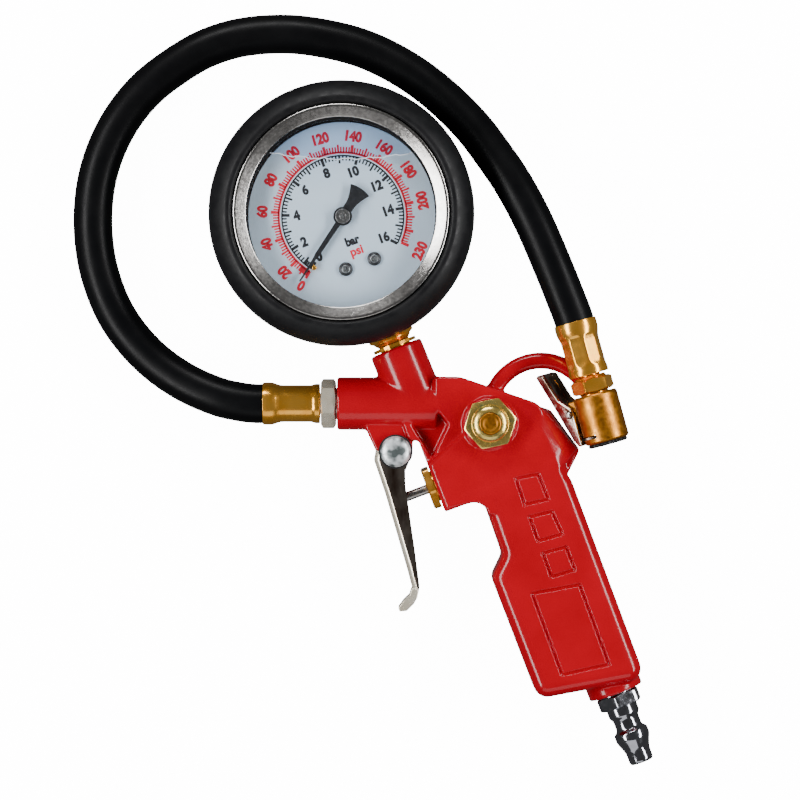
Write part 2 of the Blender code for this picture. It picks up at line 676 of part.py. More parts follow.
def make_body():
    """The die-cast body: barrel, gauge boss, valve nose, grip, hook ring and trigger lug in one casting."""
    low, high = AXIS_Z - GRIP_HALF, AXIS_Z + GRIP_HALF
    grip = [
        (10.0, 98.0, 3.4), (9.6, 115.7, 3.0), (4.0, 121.0, 3.6), (4.4, 161.2, 3.6), (37.6, 167.0, 3.6),
        (37.6, 97.0, 6.0), (20.0, 95.0, 8.0),
    ]
    body = cast_slab("gun_body", RED, grip_outline(grip), low, high, 3.0)
    valve_block = [
        (NOSE_P, 81.2, 1.6), (NOSE_P, 97.3, 1.6), (9.8, 97.3, 0), (14.0, 102.0, 0), (36.5, 104.0, 3.0),
        (41.2, 95.4, 2.0), (36.6, 91.5, 3.0), (34.0, 79.0, 4.0),
    ]
    upper = [
        (9.2, 57.0, 0), (16.6, 59.8, 6.0), (37.0, 76.5, 6.0), (37.0, 95.0, 4.0), (10.0, 95.0, 0), (7.0, 68.0, 0)
    ]
    web = [(-5.0, 62.0, 0), (16.0, 60.5, 0), (39.4, 79.3, 2.0), (43.6, 94.0, 1.5), (36.0, 101.0, 2.0), (6.0, 93.0, 0),
           (NOSE_P, 84.0, 0), (NOSE_P, 73.6, 1.0), (-5.0, 73.0, 0)]
    lug_half = TRIGGER_HALF - TRIGGER_WALL - 0.35
    lug = [(-16.4, 63.5, 0), (-3.0, 63.5, 0), (-4.2, 74.0, 2.0), (-6.2, 79.2, 3.5), (-14.0, 79.2, 3.5), (-15.8, 72.0, 1.5)]
    bar = [(cos(radians(a)), sin(radians(a))) for a in range(15, 375, 30)]
    hook_middle, hook_wide = sum(HOOK_R) / 2, (HOOK_R[1] - HOOK_R[0]) / 2
    bar = [(hook_middle + hook_wide * c / 0.97, HOOK_HALF * z / 0.97) for c, z in bar]
    middle = AXIS_Z
    join(
        body,
        cast_slab("body_valve_block", None, grip_outline(valve_block), middle - VALVE_HALF, middle + VALVE_HALF,
                  1.5, cutter=True, segments=2),
        cast_slab("body_upper", None, grip_outline(upper), middle - SLAB_HALF, middle + SLAB_HALF, 2.2, cutter=True),
        cast_slab("body_web", None, grip_outline(web), middle - WEB_HALF, middle + WEB_HALF, 0.6, cutter=True,
                  per_arc=4, segments=1),
        cast_slab("body_lug", None, grip_outline(lug), middle - lug_half, middle + lug_half, 0.7, cutter=True,
                  segments=1),
        bent_bar("body_hook", None, bar, 22, 159, 16, HOOK, cutter=True),
        rod("body_barrel", None, BARREL_R, 0, 31.0, BARREL, 28, cutter=True),
        rod("body_stem_boss", None, BARREL_R, STEM_BOSS_TOP, 64.0, STEM, 28, cutter=True),
        rod("body_inlet_boss", None, 8.6, 150.0, INLET_END_G, INLET, 24, cutter=True),
        rod("body_deflate_boss", None, 8.7, 12.0, DEFLATE_TOP, DEFLATE_FRAME, 28, cutter=True),
    )
    cut(
        body,
        rod("stem_thread_bore", None, 5.2, 40, 54.5, STEM, 16, cutter=True),
        rod("stem_passage", None, 1.6, 54, 63, STEM, 10, cutter=True),
        rod("barrel_bore", None, 5.2, -2, 14, BARREL, 16, cutter=True),
        rod("barrel_passage", None, 2.0, 13, 30, BARREL, 10, cutter=True),
        rod("valve_bore", None, 5.2, -6, 26, VALVE, 16, cutter=True),
        rod("outlet_passage", None, 1.5, 60, 86, OUTLET, 10, cutter=True),
        rod("inlet_passage", None, 3.0, 88.9, 160, INLET, 12, cutter=True),
        rod("inlet_bore", None, 6.0, 156, 172, INLET, 16, cutter=True),
        rod("deflate_bore", None, 5.2, 10.5, 30, DEFLATE_FRAME, 16, cutter=True),
        rod("deflate_passage", None, 1.4, 70, 86, DEFLATE_LINK, 8, cutter=True),
        rod("trigger_pin_bore", None, 2.2, -4, 30, PIVOT_FRAME, 14, cutter=True),
    )


# ---------------------------------------------------------------- valves and inlet


def make_valve():
    """The gland nut, and the push rod with its poppet and spring."""
    head_low, head_high = NOSE_P - 2.7, NOSE_P - GAP
    nut = slab("valve_gland_nut", BRASS, hexagon(14.2, 8), head_low, head_high, bevel=0.5, frame=VALVE, segments=1)
    join(nut, rod("gland_shank", None, 4.85, head_high - 0.5, 6.0, VALVE, 20, cutter=True))
    cut(
        nut,
        rod("gland_hole", None, ROD_R + 0.2, head_low - 1, 8, VALVE, 14, cutter=True),
        rod("gland_seal_seat", None, 3.2, 3.4, 8, VALVE, 14, cutter=True),
    )
    tube("gland_o_ring", RUBBER, 2.95, ROD_R + 0.15, 3.7, 5.6, VALVE, 14)
    profile = [(0, 9.6), (ROD_R, 9.6), (ROD_R, ROD_TIP + 0.6), (0.9, ROD_TIP), (0, ROD_TIP)]
    turned("push_rod", STEEL, profile, VALVE, 14)
    poppet = [(0, 15.2), (1.8, 15.2), (1.8, 13.4), (4.3, 13.4), (4.3, 11.6), (3.0, 9.9), (0, 9.9)]
    turned("valve_poppet", BRASS, poppet, VALVE, 16)
    coil("valve_spring", STEEL, 3.2, 0.4, 13.8, 25.0, 5, VALVE)


def make_deflate_valve():
    """The hexagon body on the side of the gun, with its push button, seal and spring."""
    low = DEFLATE_TOP + GAP
    nut = slab("deflate_valve_body", BRASS, hexagon(13.8, 12), low, low + 3.2, bevel=0.6, frame=DEFLATE_FRAME,
               segments=1)
    collar = [(0, low + 5.0), (5.0, low + 5.0), (5.9, low + 4.0), (5.9, low + 3.0), (0, low + 3.0)]
    join(
        nut,
        turned("deflate_collar", None, collar, DEFLATE_FRAME, 24, True),
        rod("deflate_shank", None, 4.85, 14.0, low + 0.5, DEFLATE_FRAME, 20, cutter=True),
    )
    cut(
        nut,
        rod("deflate_hole", None, 1.6, 12.0, 40, DEFLATE_FRAME, 14, cutter=True),
        rod("deflate_button_seat", None, 3.75, low - 0.5, 40, DEFLATE_FRAME, 20, cutter=True),
    )
    top = low + 5.6
    button = [
        (0, top), (2.2, top - 0.15), (3.4, top - 0.8), (3.4, low + 2.2), (1.3, low + 2.2), (1.3, 13.0), (0, 13.0)
    ]
    turned("deflate_button", BRASS, button, DEFLATE_FRAME, 20)
    coil("deflate_spring", STEEL, 2.4, 0.3, low - 0.3, low + 2.0, 2.5, DEFLATE_FRAME, 10)
    tube("deflate_seal", RUBBER, 4.6, 2.0, 12.2, 13.7, DEFLATE_FRAME, 16)


def make_inlet():
    """The quick-connect plug in the butt of the grip, and the strainer behind it."""
    start = INLET_END_G + GAP
    plug = slab("inlet_plug", CHROME, hexagon(12.5, 10), start, start + 4.2, bevel=0.5, frame=INLET, segments=1)
    nose = [
        (0, 191.4), (3.4, 191.4), (3.85, 190.8), (3.85, 187.6), (5.0, 184.2), (5.4, 183.4), (5.4, 181.4),
        (4.1, 180.2), (4.1, 176.6), (4.9, 175.4), (4.9, 172.5), (0, 172.5),
    ]
    join(
        plug,
        turned("plug_nose", None, nose, INLET, 24, True),
        rod("plug_shank", None, 5.7, 158.0, start + 0.5, INLET, 20, cutter=True),
    )
    cut(plug, rod("plug_bore", None, 2.3, 150, 200, INLET, 14, cutter=True))
    strainer = [(5.6, 157.4), (5.6, 156.6), (4.4, 156.6), (4.4, 157.4)]
    turned("inlet_filter_ring", BRASS, strainer, INLET, 16)


# ---------------------------------------------------------------- trigger


def make_trigger():
    """The chromed channel trigger, its pin and the pin's clip. It is drawn about its pivot."""
    ears = [(5.2 * cos(radians(a)), 5.2 * sin(radians(a)), 0) for a in range(-20, 200, 20)]
    left = [(-6.6, -2.6, 1.0), (5.3, -43.0, 0)]
    tip = [(5.6, -46.5, 1.5), (3.0, -49.2, 0), (3.4, -50.0, 0), (7.3, -45.5, 2.0), (7.5, -42.0, 0)]
    right = [(5.9, -30.0, 0), (3.1, -11.0, 0), (2.6, -6.0, 2.5)]
    outline = [*ears[::-1][::-1], (-6.0, -0.6, 1.0), *left, *tip, *right]
    low, high = -TRIGGER_HALF, TRIGGER_HALF
    trigger = slab("trigger", CHROME, outline, low, high, bevel=0.0, frame=PIVOT_FRAME_MID, per_arc=4)
    wall = TRIGGER_WALL
    hollow = [(-5.6, -2.0, 0), (6.0, -41.5, 0), (9.0, -41.5, 0), (9.0, -11.0, 0), (9.0, 9.0, 0), (-9.0, 9.0, 0)]
    cut(
        trigger,
        slab("trigger_hollow", None, hollow, low + wall, high - wall, frame=PIVOT_FRAME_MID, cutter=True),
        rod("trigger_pin_hole", None, 2.3, -20, 20, PIVOT_FRAME_MID, 14, cutter=True),
    )
    head = [
        (0, high + 2.2), (2.4, high + 2.0), (4.2, high + 1.2), (4.8, high + 0.4), (4.8, high + 0.2), (1.95, high + 0.2),
        (1.95, low - 1.0), (1.5, low - 1.0), (1.5, low - 1.9), (1.95, low - 1.9), (1.95, low - 2.5), (0, low - 2.5),
    ]
    turned("trigger_pin", STEEL, head, PIVOT_FRAME_MID, 24)
    clip = tube("trigger_pin_clip", STEEL, 3.6, 1.65, low - 1.75, low - 1.15, PIVOT_FRAME_MID, 18)
    cut(clip, box("clip_mouth", None, (-1.2, 0, low - 3), (1.2, 6, low), PIVOT_FRAME_MID, True))


# ---------------------------------------------------------------- hose and its ends


def crimped(name, length, steps=24):
    """The outer profile of a crimped ferrule, from z = 0 at the hose to z = length."""
    return [
        (6.15, length), (6.15, length - 1.6), (5.85, length - 2.6), (5.85, 4.6), (6.6, 2.0), (6.6, 0.6), (6.35, 0),
        (5.2, 0), (5.2, length - 1.6), (3.9, length - 1.6), (3.9, length),
    ]


def make_barrel_hose_end():
    ferrule_start = BARREL_START - 5.3 - FERRULE_LENGTH
    frame = frame_along((ferrule_start, BARREL_Y, AXIS_Z), (1, 0, 0))
    turned("barrel_ferrule", BRASS, crimped("barrel_ferrule", FERRULE_LENGTH), frame, 24)
    nut = slab("hose_adapter", STEEL, hexagon(14.0, 22), -5.0, -GAP, bevel=0.5, frame=BARREL, segments=1)
    barb = [(0, -4.5), (3.2, -4.5)]
    for k in range(4):
        z = -7.4 - 3.4 * k
        barb += [(3.2, z), (3.65, z - 0.3), (3.1, z - 2.8)]
    barb += [(2.8, -21.0), (0, -21.0)]
    join(
        nut,
        turned("hose_barb", None, barb, BARREL, 18, True),
        rod("hose_adapter_shank", None, 4.85, -0.8, 11.5, BARREL, 20, cutter=True),
    )
    cut(nut, rod("hose_adapter_bore", None, 2.2, -30, 20, BARREL, 12, cutter=True))


def make_hose():
    swept("hose", RUBBER, smooth_curve(HOSE_ROUTE, 60), HOSE_R, resolution=3)


def make_chuck():
    """The clip-on chuck: ferrule, tail nut, body, seal, core pin, clip lever, its pin and spring."""
    turned("chuck_ferrule", BRASS, [(r, z + GAP) for r, z in crimped("chuck_ferrule", 16.0)], CHUCK, 24)
    nut = slab("chuck_tail", BRASS, hexagon(12.0, 15), 17.6, 21.6, bevel=0.6, frame=CHUCK, segments=1)
    tail = [(0, 24.6), (4.4, 24.6), (4.4, 22.0), (5.2, 21.2), (5.2, 18.0), (4.6, 16.7), (3.2, 16.7)]
    for k in range(3):
        z = 14.4 - 3.4 * k
        tail += [(3.1, z), (3.65, z - 0.3), (3.1, z - 2.8)]
    tail += [(2.8, 3.0), (0, 3.0)]
    join(nut, turned("chuck_barb", None, tail, CHUCK, 18, True))
    cut(nut, rod("chuck_tail_bore", None, 2.0, 0, 30, CHUCK, 12, cutter=True))

    start = 22.3
    profile = [
        (0, CHUCK_END), (6.5, CHUCK_END), (6.9, CHUCK_END - 0.5), (6.9, start + 0.5), (6.5, start), (0, start)
    ]
    body = turned("chuck_body", BRASS, profile, CHUCK, 28)
    lug = box("chuck_lug", None, (3.0, -2.3, start + 0.8), (10.2, 2.3, 30.2), CHUCK, True)
    join(body, lug)
    pin_x, pin_t = LEVER_PIN
    cut(
        body,
        rod("chuck_mouth", None, 4.25, 27.6, 45, CHUCK, 20, cutter=True),
        rod("chuck_tail_seat", None, 4.75, 15, 24.9, CHUCK, 16, cutter=True),
        rod("chuck_passage", None, 1.5, 20, 30, CHUCK, 10, cutter=True),
        box("chuck_slot", None, (2.5, -5.2, 34.1), (9, 5.2, 36.5), CHUCK, True),
        box("chuck_flat", None, (5.7, -8, 30.9), (9, 8, 45), CHUCK, True),
        rod("lug_pin_hole", None, 1.3, -6, 6, PIN_FRAME, 12, cutter=True),
    )
    tube("chuck_seal", RUBBER, 3.95, 1.9, 27.9, 30.4, CHUCK, 16)
    core = [(0, 31.6), (0.9, 31.6), (0.9, 27.4), (1.25, 27.2), (1.25, 25.2), (0, 25.2)]
    turned("chuck_core_pin", BRASS, core, CHUCK, 10)
    rod("chuck_lever_pin", STEEL, 1.05, -5.0, 5.0, PIN_FRAME, 12)
    make_chuck_lever()
    make_chuck_spring()


def make_chuck_lever():
    """A bent strip with two cheeks round the lug, and a tooth that reaches in through the slot."""
    half, wall = LEVER_HALF, 0.8
    outer = [
        (14.4, 13.0, 0), (17.2, 13.0, 0), (13.8, 22.4, 3.0), (9.8, 34.6, 0), (8.4, 37.0, 1.0), (6.9, 37.0, 0),
        (7.2, 25.4, 2.0), (11.2, 21.6, 1.5),
    ]
    side = frame_along((0, 0, 0), (0, 1, 0), (1, 0, 0))
    flat = CHUCK @ side @ Matrix.Scale(-1, 4, (0, 1, 0))
    lever = slab("chuck_lever", CHROME, outer, -half, half, frame=flat, per_arc=4)
    inside = half - wall
    hollow = [
        (13.4, 12.0, 0), (16.6, 12.0, 0), (13.0, 22.2, 3.0), (9.0, 34.4, 0), (8.6, 35.0, 0), (5.0, 35.0, 0),
        (5.0, 20.0, 0),
    ]
    tooth = [(3.4, 34.9, 0), (3.8, 35.7, 0), (8.0, 35.7, 0), (8.0, 34.9, 0)]
    slip = [(5.0, 35.9, 0), (8.2, 35.9, 0), (7.4, 40.0, 0), (5.0, 40.0, 0)]
    cut(
        lever,
        slab("lever_hollow", None, hollow, -inside, inside, frame=flat, cutter=True),
        slab("lever_below_tooth", None, slip, -inside, inside, frame=flat, cutter=True),
    )
    join(lever, slab("lever_tooth", None, tooth, -2.2, 2.2, frame=flat, cutter=True))
    cut(lever, rod("lever_pin_hole", None, 1.3, -8, 8, PIN_FRAME, 12, cutter=True))


def make_chuck_spring():
    """A turn and a half of wire round the pin, between the lug and the lever's cheek."""
    coil("chuck_spring", STEEL, 1.8, 0.16, 2.5, 3.0, 1.5, PIN_FRAME, 16)


# ---------------------------------------------------------------- assembly

clear_scene()
PARTS = collection("tire_pressure_gauge")
CUTTERS = collection("cutters")

SCREW_X, SCREW_Y = 4.65, 15.5  # dial screws, from the pointer's axis
STOP_R, STOP_BEHIND = 18.0, 4.6  # zero stop, from the axis, and degrees behind the pointer
SECTOR_SWING = POINTER_SWEEP * PINION_TEETH / SECTOR_TEETH
ROD_TIP = PIVOT[0] - 6.7

HOOK = Matrix.Translation(point(*HOOK_CENTRE, AXIS_Z))
STEM_DOWN = tilted(STEM_TILT)[0]
GRIP_DOWN, GRIP_ACROSS = tilted(GRIP_TILT)
CHUCK_DOWN, CHUCK_ACROSS = tilted(CHUCK_TILT)
GAUGE = Matrix.Rotation(radians(STEM_TILT), 4, "Z")
STEM = frame_along((0, 0, AXIS_Z), (*STEM_DOWN, 0))
FILL = frame_along((0, 0, AXIS_Z), (-STEM_DOWN[0], -STEM_DOWN[1], 0))
BARREL = frame_along((BARREL_START, BARREL_Y, AXIS_Z), (1, 0, 0))
VALVE = frame_along((*grip_point(0, VALVE_G), AXIS_Z), (*GRIP_ACROSS, 0))
INLET = frame_along((*grip_point(INLET_P, 0), AXIS_Z), (*GRIP_DOWN, 0))
OUTLET = frame_along((*grip_point(8.0, 0), AXIS_Z), (*GRIP_DOWN, 0))
DEFLATE_LINK = frame_along((*grip_point(11.5, 0), AXIS_Z), (*GRIP_DOWN, 0))
DEFLATE_FRAME = Matrix.Translation(point(*grip_point(*DEFLATE)))
PIVOT_FRAME = Matrix.Translation(point(*grip_point(*PIVOT)))
PIVOT_FRAME_MID = PIVOT_FRAME @ Matrix.Translation(point(0, 0, AXIS_Z))
ROLL = radians(CHUCK_ROLL)
LEVER_SIDE = (-CHUCK_ACROSS[0] * cos(ROLL), -CHUCK_ACROSS[1] * cos(ROLL), -sin(ROLL))
CHUCK = frame_along((*CHUCK_START, CHUCK_Z), (*CHUCK_DOWN, 0), LEVER_SIDE)
PIN_FRAME = CHUCK @ frame_along((LEVER_PIN[0], 0, LEVER_PIN[1]), (0, 1, 0), (1, 0, 0))

make_boot()
make_case()
make_bezel()
make_dial()
make_socket()
make_bourdon_tube()
make_tube_tip()
make_movement()
make_sector()
make_pointer()
make_body()
make_valve()
make_deflate_valve()
make_inlet()
make_trigger()
make_barrel_hose_end()
make_hose()
make_chuck()
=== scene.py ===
"""The looks of the tyre inflator pistol: its castings, turned and stamped metal, dial, rubber and hose.

Sizes in the code are millimetres. mm() turns them into metres. The tool lies on its back, dial up (+Z).
"""

from math import atan2, ceil, cos, degrees, hypot, pi, radians, sin, tan

import bmesh
import bpy
from mathutils import Matrix, Vector


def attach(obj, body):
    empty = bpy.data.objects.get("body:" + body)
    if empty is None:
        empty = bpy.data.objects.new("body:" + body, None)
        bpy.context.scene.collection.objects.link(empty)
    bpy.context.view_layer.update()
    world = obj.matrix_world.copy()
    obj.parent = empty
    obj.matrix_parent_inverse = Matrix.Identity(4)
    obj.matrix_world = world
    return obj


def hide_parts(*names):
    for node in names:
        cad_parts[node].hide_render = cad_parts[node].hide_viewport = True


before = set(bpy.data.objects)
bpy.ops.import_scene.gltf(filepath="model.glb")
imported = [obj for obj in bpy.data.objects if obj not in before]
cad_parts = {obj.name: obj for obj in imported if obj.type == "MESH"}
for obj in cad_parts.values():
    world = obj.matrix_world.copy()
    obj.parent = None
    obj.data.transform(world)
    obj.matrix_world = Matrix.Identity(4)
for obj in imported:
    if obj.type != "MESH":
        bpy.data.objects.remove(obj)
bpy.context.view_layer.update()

MM = 0.001
AXIS_Z = 13.0
STEM_TILT = 22.0
GRIP_TILT = 20.5
DIAL_TILT = 20.0
CHUCK_TILT = 15.5
CHUCK_ROLL = 38.0

# ---------------------------------------------------------------- frames


def point(x, y, z=0.0):
    return Vector((x, y, z)) * MM


def tilted(angle):
    """Unit vectors (down, across) of a frame tilted by angle from -Y towards +X."""
    a = radians(angle)
    return (sin(a), -cos(a)), (cos(a), sin(a))


def frame_along(start, direction, side=(0, 0, 1)):
    """A frame at start (millimetres) whose Z runs along direction and whose X is side."""
    z = Vector(direction).normalized()
    x = Vector(side).normalized()
    turn = Matrix((x, z.cross(x), z)).transposed().to_4x4()
    return Matrix.Translation(point(*start)) @ turn


def at(x, y, z=0.0):
    return Matrix.Translation(point(x, y, z))


STEM_DOWN, STEM_ACROSS = tilted(STEM_TILT)
GRIP_DOWN, GRIP_ACROSS = tilted(GRIP_TILT)
CHUCK_DOWN, CHUCK_ACROSS = tilted(CHUCK_TILT)


def grip_point(p, g):
    """World x, y of a place p across the grip and g down it."""
    return p * GRIP_ACROSS[0] + g * GRIP_DOWN[0], p * GRIP_ACROSS[1] + g * GRIP_DOWN[1]


def grip_outline(corners):
    return [(*grip_point(p, g), r) for p, g, r in corners]


STEM = frame_along((0, 0, AXIS_Z), (*STEM_DOWN, 0))
BARREL_START, BARREL_Y = -1.5, -58.5
BARREL = frame_along((BARREL_START, BARREL_Y, AXIS_Z), (1, 0, 0))
VALVE = frame_along((*grip_point(0, 88.9), AXIS_Z), (*GRIP_ACROSS, 0))
INLET = frame_along((*grip_point(27.8, 0), AXIS_Z), (*GRIP_DOWN, 0))
DEFLATE = at(*grip_point(20.1, 76.5))
PIVOT = at(*grip_point(-10.1, 74.5), AXIS_Z)
CHUCK_START = (71.9, -33.9, AXIS_Z + 9.5)
ROLL = radians(CHUCK_ROLL)
LEVER_SIDE = (-CHUCK_ACROSS[0] * cos(ROLL), -CHUCK_ACROSS[1] * cos(ROLL), -sin(ROLL))
CHUCK = frame_along(CHUCK_START, (*CHUCK_DOWN, 0), LEVER_SIDE)
LEVER_PIN = CHUCK @ frame_along((8.6, 0, 26.7), (0, 1, 0), (1, 0, 0))
POINTER_AXIS = (1.2 * STEM_DOWN[0], 1.2 * STEM_DOWN[1])
DIAL = at(*POINTER_AXIS) @ Matrix.Rotation(radians(DIAL_TILT), 4, "Z")

# ---------------------------------------------------------------- materials


class Shade:
    """A Principled material whose colour, roughness and bump come from noise in object coordinates."""

    def __init__(self, name, colour, roughness, metallic=0.0):
        self.material = bpy.data.materials.new(name)
        self.material.use_nodes = True
        self.nodes = self.material.node_tree.nodes
        self.links = self.material.node_tree.links
        self.shader = self.nodes["Principled BSDF"]
        self.shader.inputs["Base Color"].default_value = (*colour, 1)
        self.shader.inputs["Roughness"].default_value = roughness
        self.shader.inputs["Metallic"].default_value = metallic
        self.coords = self.nodes.new("ShaderNodeTexCoord").outputs["Object"]
        self.colour, self.roughness = colour, roughness
        self.normal = None

    def set(self, **values):
        for name, value in values.items():
            self.shader.inputs[name.replace("_", " ")].default_value = value
        return self

    def stretched(self, scale):
        mapping = self.nodes.new("ShaderNodeMapping")
        mapping.inputs["Scale"].default_value = scale
        self.links.new(self.coords, mapping.inputs["Vector"])
        return mapping.outputs["Vector"]

    def noise(self, size, detail=3.0, roughness=0.55, stretch=(1, 1, 1)):
        """Noise whose features are about size millimetres across, from 0 to 1."""
        made = self.nodes.new("ShaderNodeTexNoise")
        made.inputs["Scale"].default_value = 1 / (size * MM)
        made.inputs["Detail"].default_value = detail
        made.inputs["Roughness"].default_value = roughness
        self.links.new(self.stretched(stretch), made.inputs["Vector"])
        return made.outputs["Fac"]

    def ramp(self, value, low, high, from_low=0.35, from_high=0.65):
        """value from from_low to from_high as low to high, which are two numbers or two colours."""
        if isinstance(low, (int, float)):
            made = self.nodes.new("ShaderNodeMapRange")
            made.clamp = True
            for key, number in zip(
                ("From Min", "From Max", "To Min", "To Max"), (from_low, from_high, low, high)
            ):
                made.inputs[key].default_value = number
            self.links.new(value, made.inputs["Value"])
            return made.outputs["Result"]
        made = self.nodes.new("ShaderNodeValToRGB")
        first, last = made.color_ramp.elements
        first.position, last.position = from_low, from_high
        first.color, last.color = (*low, 1), (*high, 1)
        self.links.new(value, made.inputs["Fac"])
        return made.outputs["Color"]

    def colours(self, other, size, low=0.35, high=0.7, **noise):
        value = self.noise(size, **noise)
        self.links.new(self.ramp(value, self.colour, other, low, high), self.shader.inputs["Base Color"])
        return self

    def rough(self, other, size, low=0.35, high=0.65, **noise):
        value = self.noise(size, **noise)
        self.links.new(self.ramp(value, self.roughness, other, low, high), self.shader.inputs["Roughness"])
        return self

    def bump(self, size, depth, strength=0.5, value=None, **noise):
        """Fine relief, depth millimetres deep, over any that is already there."""
        made = self.nodes.new("ShaderNodeBump")
        made.inputs["Strength"].default_value = strength
        made.inputs["Distance"].default_value = depth * MM
        self.links.new(value or self.noise(size, **noise), made.inputs["Height"])
        if self.normal:
            self.links.new(self.normal, made.inputs["Normal"])
        self.normal = made.outputs["Normal"]
        self.links.new(self.normal, self.shader.inputs["Normal"])
        return self

    def turning_marks(self, pitch, depth, strength=0.4):
        """Rings round the object's Z axis, as a lathe leaves."""
        bands = self.noise(pitch, detail=4.0, roughness=0.7, stretch=(0.02, 0.02, 1))
        return self.bump(pitch, depth, strength, value=bands)


def make_materials():
    made = {}
    made["red"] = (
        Shade("red_enamel", (0.42, 0.0, 0.009), 0.15)
        .colours((0.36, 0.0, 0.007), 14).rough(0.21, 5)
        .bump(3.2, 0.035, 0.22, detail=2).bump(0.5, 0.006, 0.2)
        .set(Coat_Weight=0.2, Coat_Roughness=0.05, Specular_IOR_Level=0.28)
    )
    made["rubber"] = (
        Shade("boot_rubber", (0.005, 0.005, 0.006), 0.38)
        .colours((0.008, 0.008, 0.009), 9).rough(0.55, 3.5).bump(0.35, 0.02, 0.35)
        .bump(6, 0.08, 0.2, detail=1)
        .set(Specular_IOR_Level=0.24)
    )
    made["hose"] = (
        Shade("hose_rubber", (0.002, 0.002, 0.0025), 0.33)
        .colours((0.0035, 0.0035, 0.004), 20).rough(0.40, 6).bump(0.3, 0.015, 0.3)
        .bump(9, 0.1, 0.15, detail=1)
        .set(Specular_IOR_Level=0.11)
    )
    made["brass"] = (
        Shade("brass_turned", (1.0, 0.49, 0.07), 0.17, 0.86)
        .colours((0.92, 0.38, 0.035), 5, low=0.4, high=0.75).rough(0.25, 2.5)
        .turning_marks(0.16, 0.02, 0.35)
    )
    made["brass_milled"] = (
        Shade("brass_milled", (0.70, 0.29, 0.035), 0.29, 0.95)
        .colours((0.42, 0.15, 0.015), 3.2, low=0.3, high=0.7, stretch=(1, 1, 0.3)).rough(0.46, 1.2)
        .bump(0.22, 0.02, 0.5, stretch=(1, 1, 0.06), detail=4)
    )
    made["plated"] = (
        Shade("yellow_plate", (0.86, 0.60, 0.15), 0.17, 0.9)
        .colours((0.42, 0.50, 0.20), 2.6, low=0.48, high=0.8).rough(0.30, 1.0).bump(0.7, 0.02, 0.3)
    )
    made["steel"] = (
        Shade("zinc_steel", (0.62, 0.62, 0.60), 0.24, 1.0)
        .colours((0.42, 0.41, 0.40), 3).rough(0.40, 1.2).bump(0.4, 0.015, 0.35)
    )
    # Nickel plate for the hose adapter; on the trigger's front bend the same look is a painted highlight.
    made["nickel_and_bend_highlight"] = (
        Shade("nickel_nut", (0.90, 0.84, 0.70), 0.2, 0.6)
        .colours((0.76, 0.68, 0.52), 3).rough(0.3, 1.5).bump(0.5, 0.01, 0.3)
    )
    made["zinc"] = (
        Shade("zinc_dome", (0.74, 0.79, 0.81), 0.34, 0.5)
        .colours((0.10, 0.12, 0.12), 3.0, low=0.42, high=0.60, detail=1.5).rough(0.45, 1.5)
        .bump(0.6, 0.015, 0.3)
    )
    made["chrome"] = (
        Shade("chrome_plate", (0.42, 0.43, 0.47), 0.07, 1.0)
        .colours((0.30, 0.30, 0.33), 4, low=0.5, high=0.8).rough(0.16, 1.6).bump(2.2, 0.03, 0.25, detail=2)
    )
    made["stamped"] = (
        Shade("stamped_chrome", (0.62, 0.52, 0.44), 0.10, 1.0)
        .colours((0.16, 0.09, 0.06), 5, low=0.4, high=0.7, stretch=(1, 0.35, 1)).rough(0.2, 1.5)
        .bump(1.6, 0.03, 0.25, detail=3)
    )
    made["bezel"] = (
        Shade("bezel_steel", (0.66, 0.64, 0.62), 0.16, 1.0)
        .colours((0.52, 0.50, 0.48), 2.5).rough(0.24, 0.8).bump(0.25, 0.006, 0.15)
    )
    made["white"] = (
        Shade("dial_face", (0.69, 0.80, 0.89), 0.42)
        .colours((0.66, 0.78, 0.88), 12).rough(0.46, 3).bump(0.3, 0.004, 0.2)
    )
    for key, colour in (("print_black", (0.012, 0.012, 0.014)), ("print_red", (0.78, 0.008, 0.03))):
        ink = Shade(key, colour, 0.45)
        lighter = tuple(min(1.0, c * 1.6 + 0.004) for c in colour)
        made[key] = ink.colours(lighter, 0.5, low=0.5, high=0.8).rough(0.6, 0.4)

    made["black"] = (
        Shade("black_enamel", (0.010, 0.010, 0.011), 0.34)
        .colours((0.02, 0.02, 0.022), 1.5).rough(0.48, 0.8).bump(0.25, 0.008, 0.3)
    )
    made["dark"] = (
        Shade("dark_screw", (0.22, 0.21, 0.20), 0.30, 1.0)
        .colours((0.48, 0.46, 0.44), 0.5, low=0.45, high=0.75).rough(0.5, 0.4).bump(0.2, 0.01, 0.4)
    )
    made["glass"] = clear_glass("window_glass", (0.97, 0.985, 1.0), 0.9)
    made["air"] = clear_glass("air_space", (0.90, 0.94, 0.995), 0.2)
    # Painted highlight: the near-white colour of the line at the liquid's edge stands for the light that the
    # liquid's surface catches.
    made["meniscus_highlight"] = Shade("meniscus_highlight_line", (0.90, 0.94, 1.0), 0.2)
    return {key: shade.material if isinstance(shade, Shade) else shade for key, shade in made.items()}


def clear_glass(name, tint, shine):
    """Thin clear glass: light goes straight through, and a small share of it is mirrored."""
    material = bpy.data.materials.new(name)
    material.use_nodes = True
    nodes, links = material.node_tree.nodes, material.node_tree.links
    nodes.remove(nodes["Principled BSDF"])
    through = nodes.new("ShaderNodeBsdfTransparent")
    through.inputs["Color"].default_value = (*tint, 1)
    gloss = nodes.new("ShaderNodeBsdfGlossy")
    gloss.inputs["Roughness"].default_value = 0.03
    mix = nodes.new("ShaderNodeMixShader")
    mix.inputs["Fac"].default_value = 0.05 * shine
    links.new(through.outputs["BSDF"], mix.inputs[1])
    links.new(gloss.outputs["BSDF"], mix.inputs[2])
    links.new(mix.outputs["Shader"], nodes["Material Output"].inputs["Surface"])
    return material


# ---------------------------------------------------------------- mesh helpers


SLOTS = {
    "brass": "brass", "brass_milled": "brass", "plated": "brass",
    "chrome": "chrome", "bezel": "chrome", "stamped": "chrome",
    "glass": "window_clear", "air": "window_clear", "meniscus_highlight": "window_clear",
    "black": "black_paint", "print_black": "black_paint", "red": "red_paint", "print_red": "red_paint",
    "rubber": "black_rubber", "white": "dial_white",
}


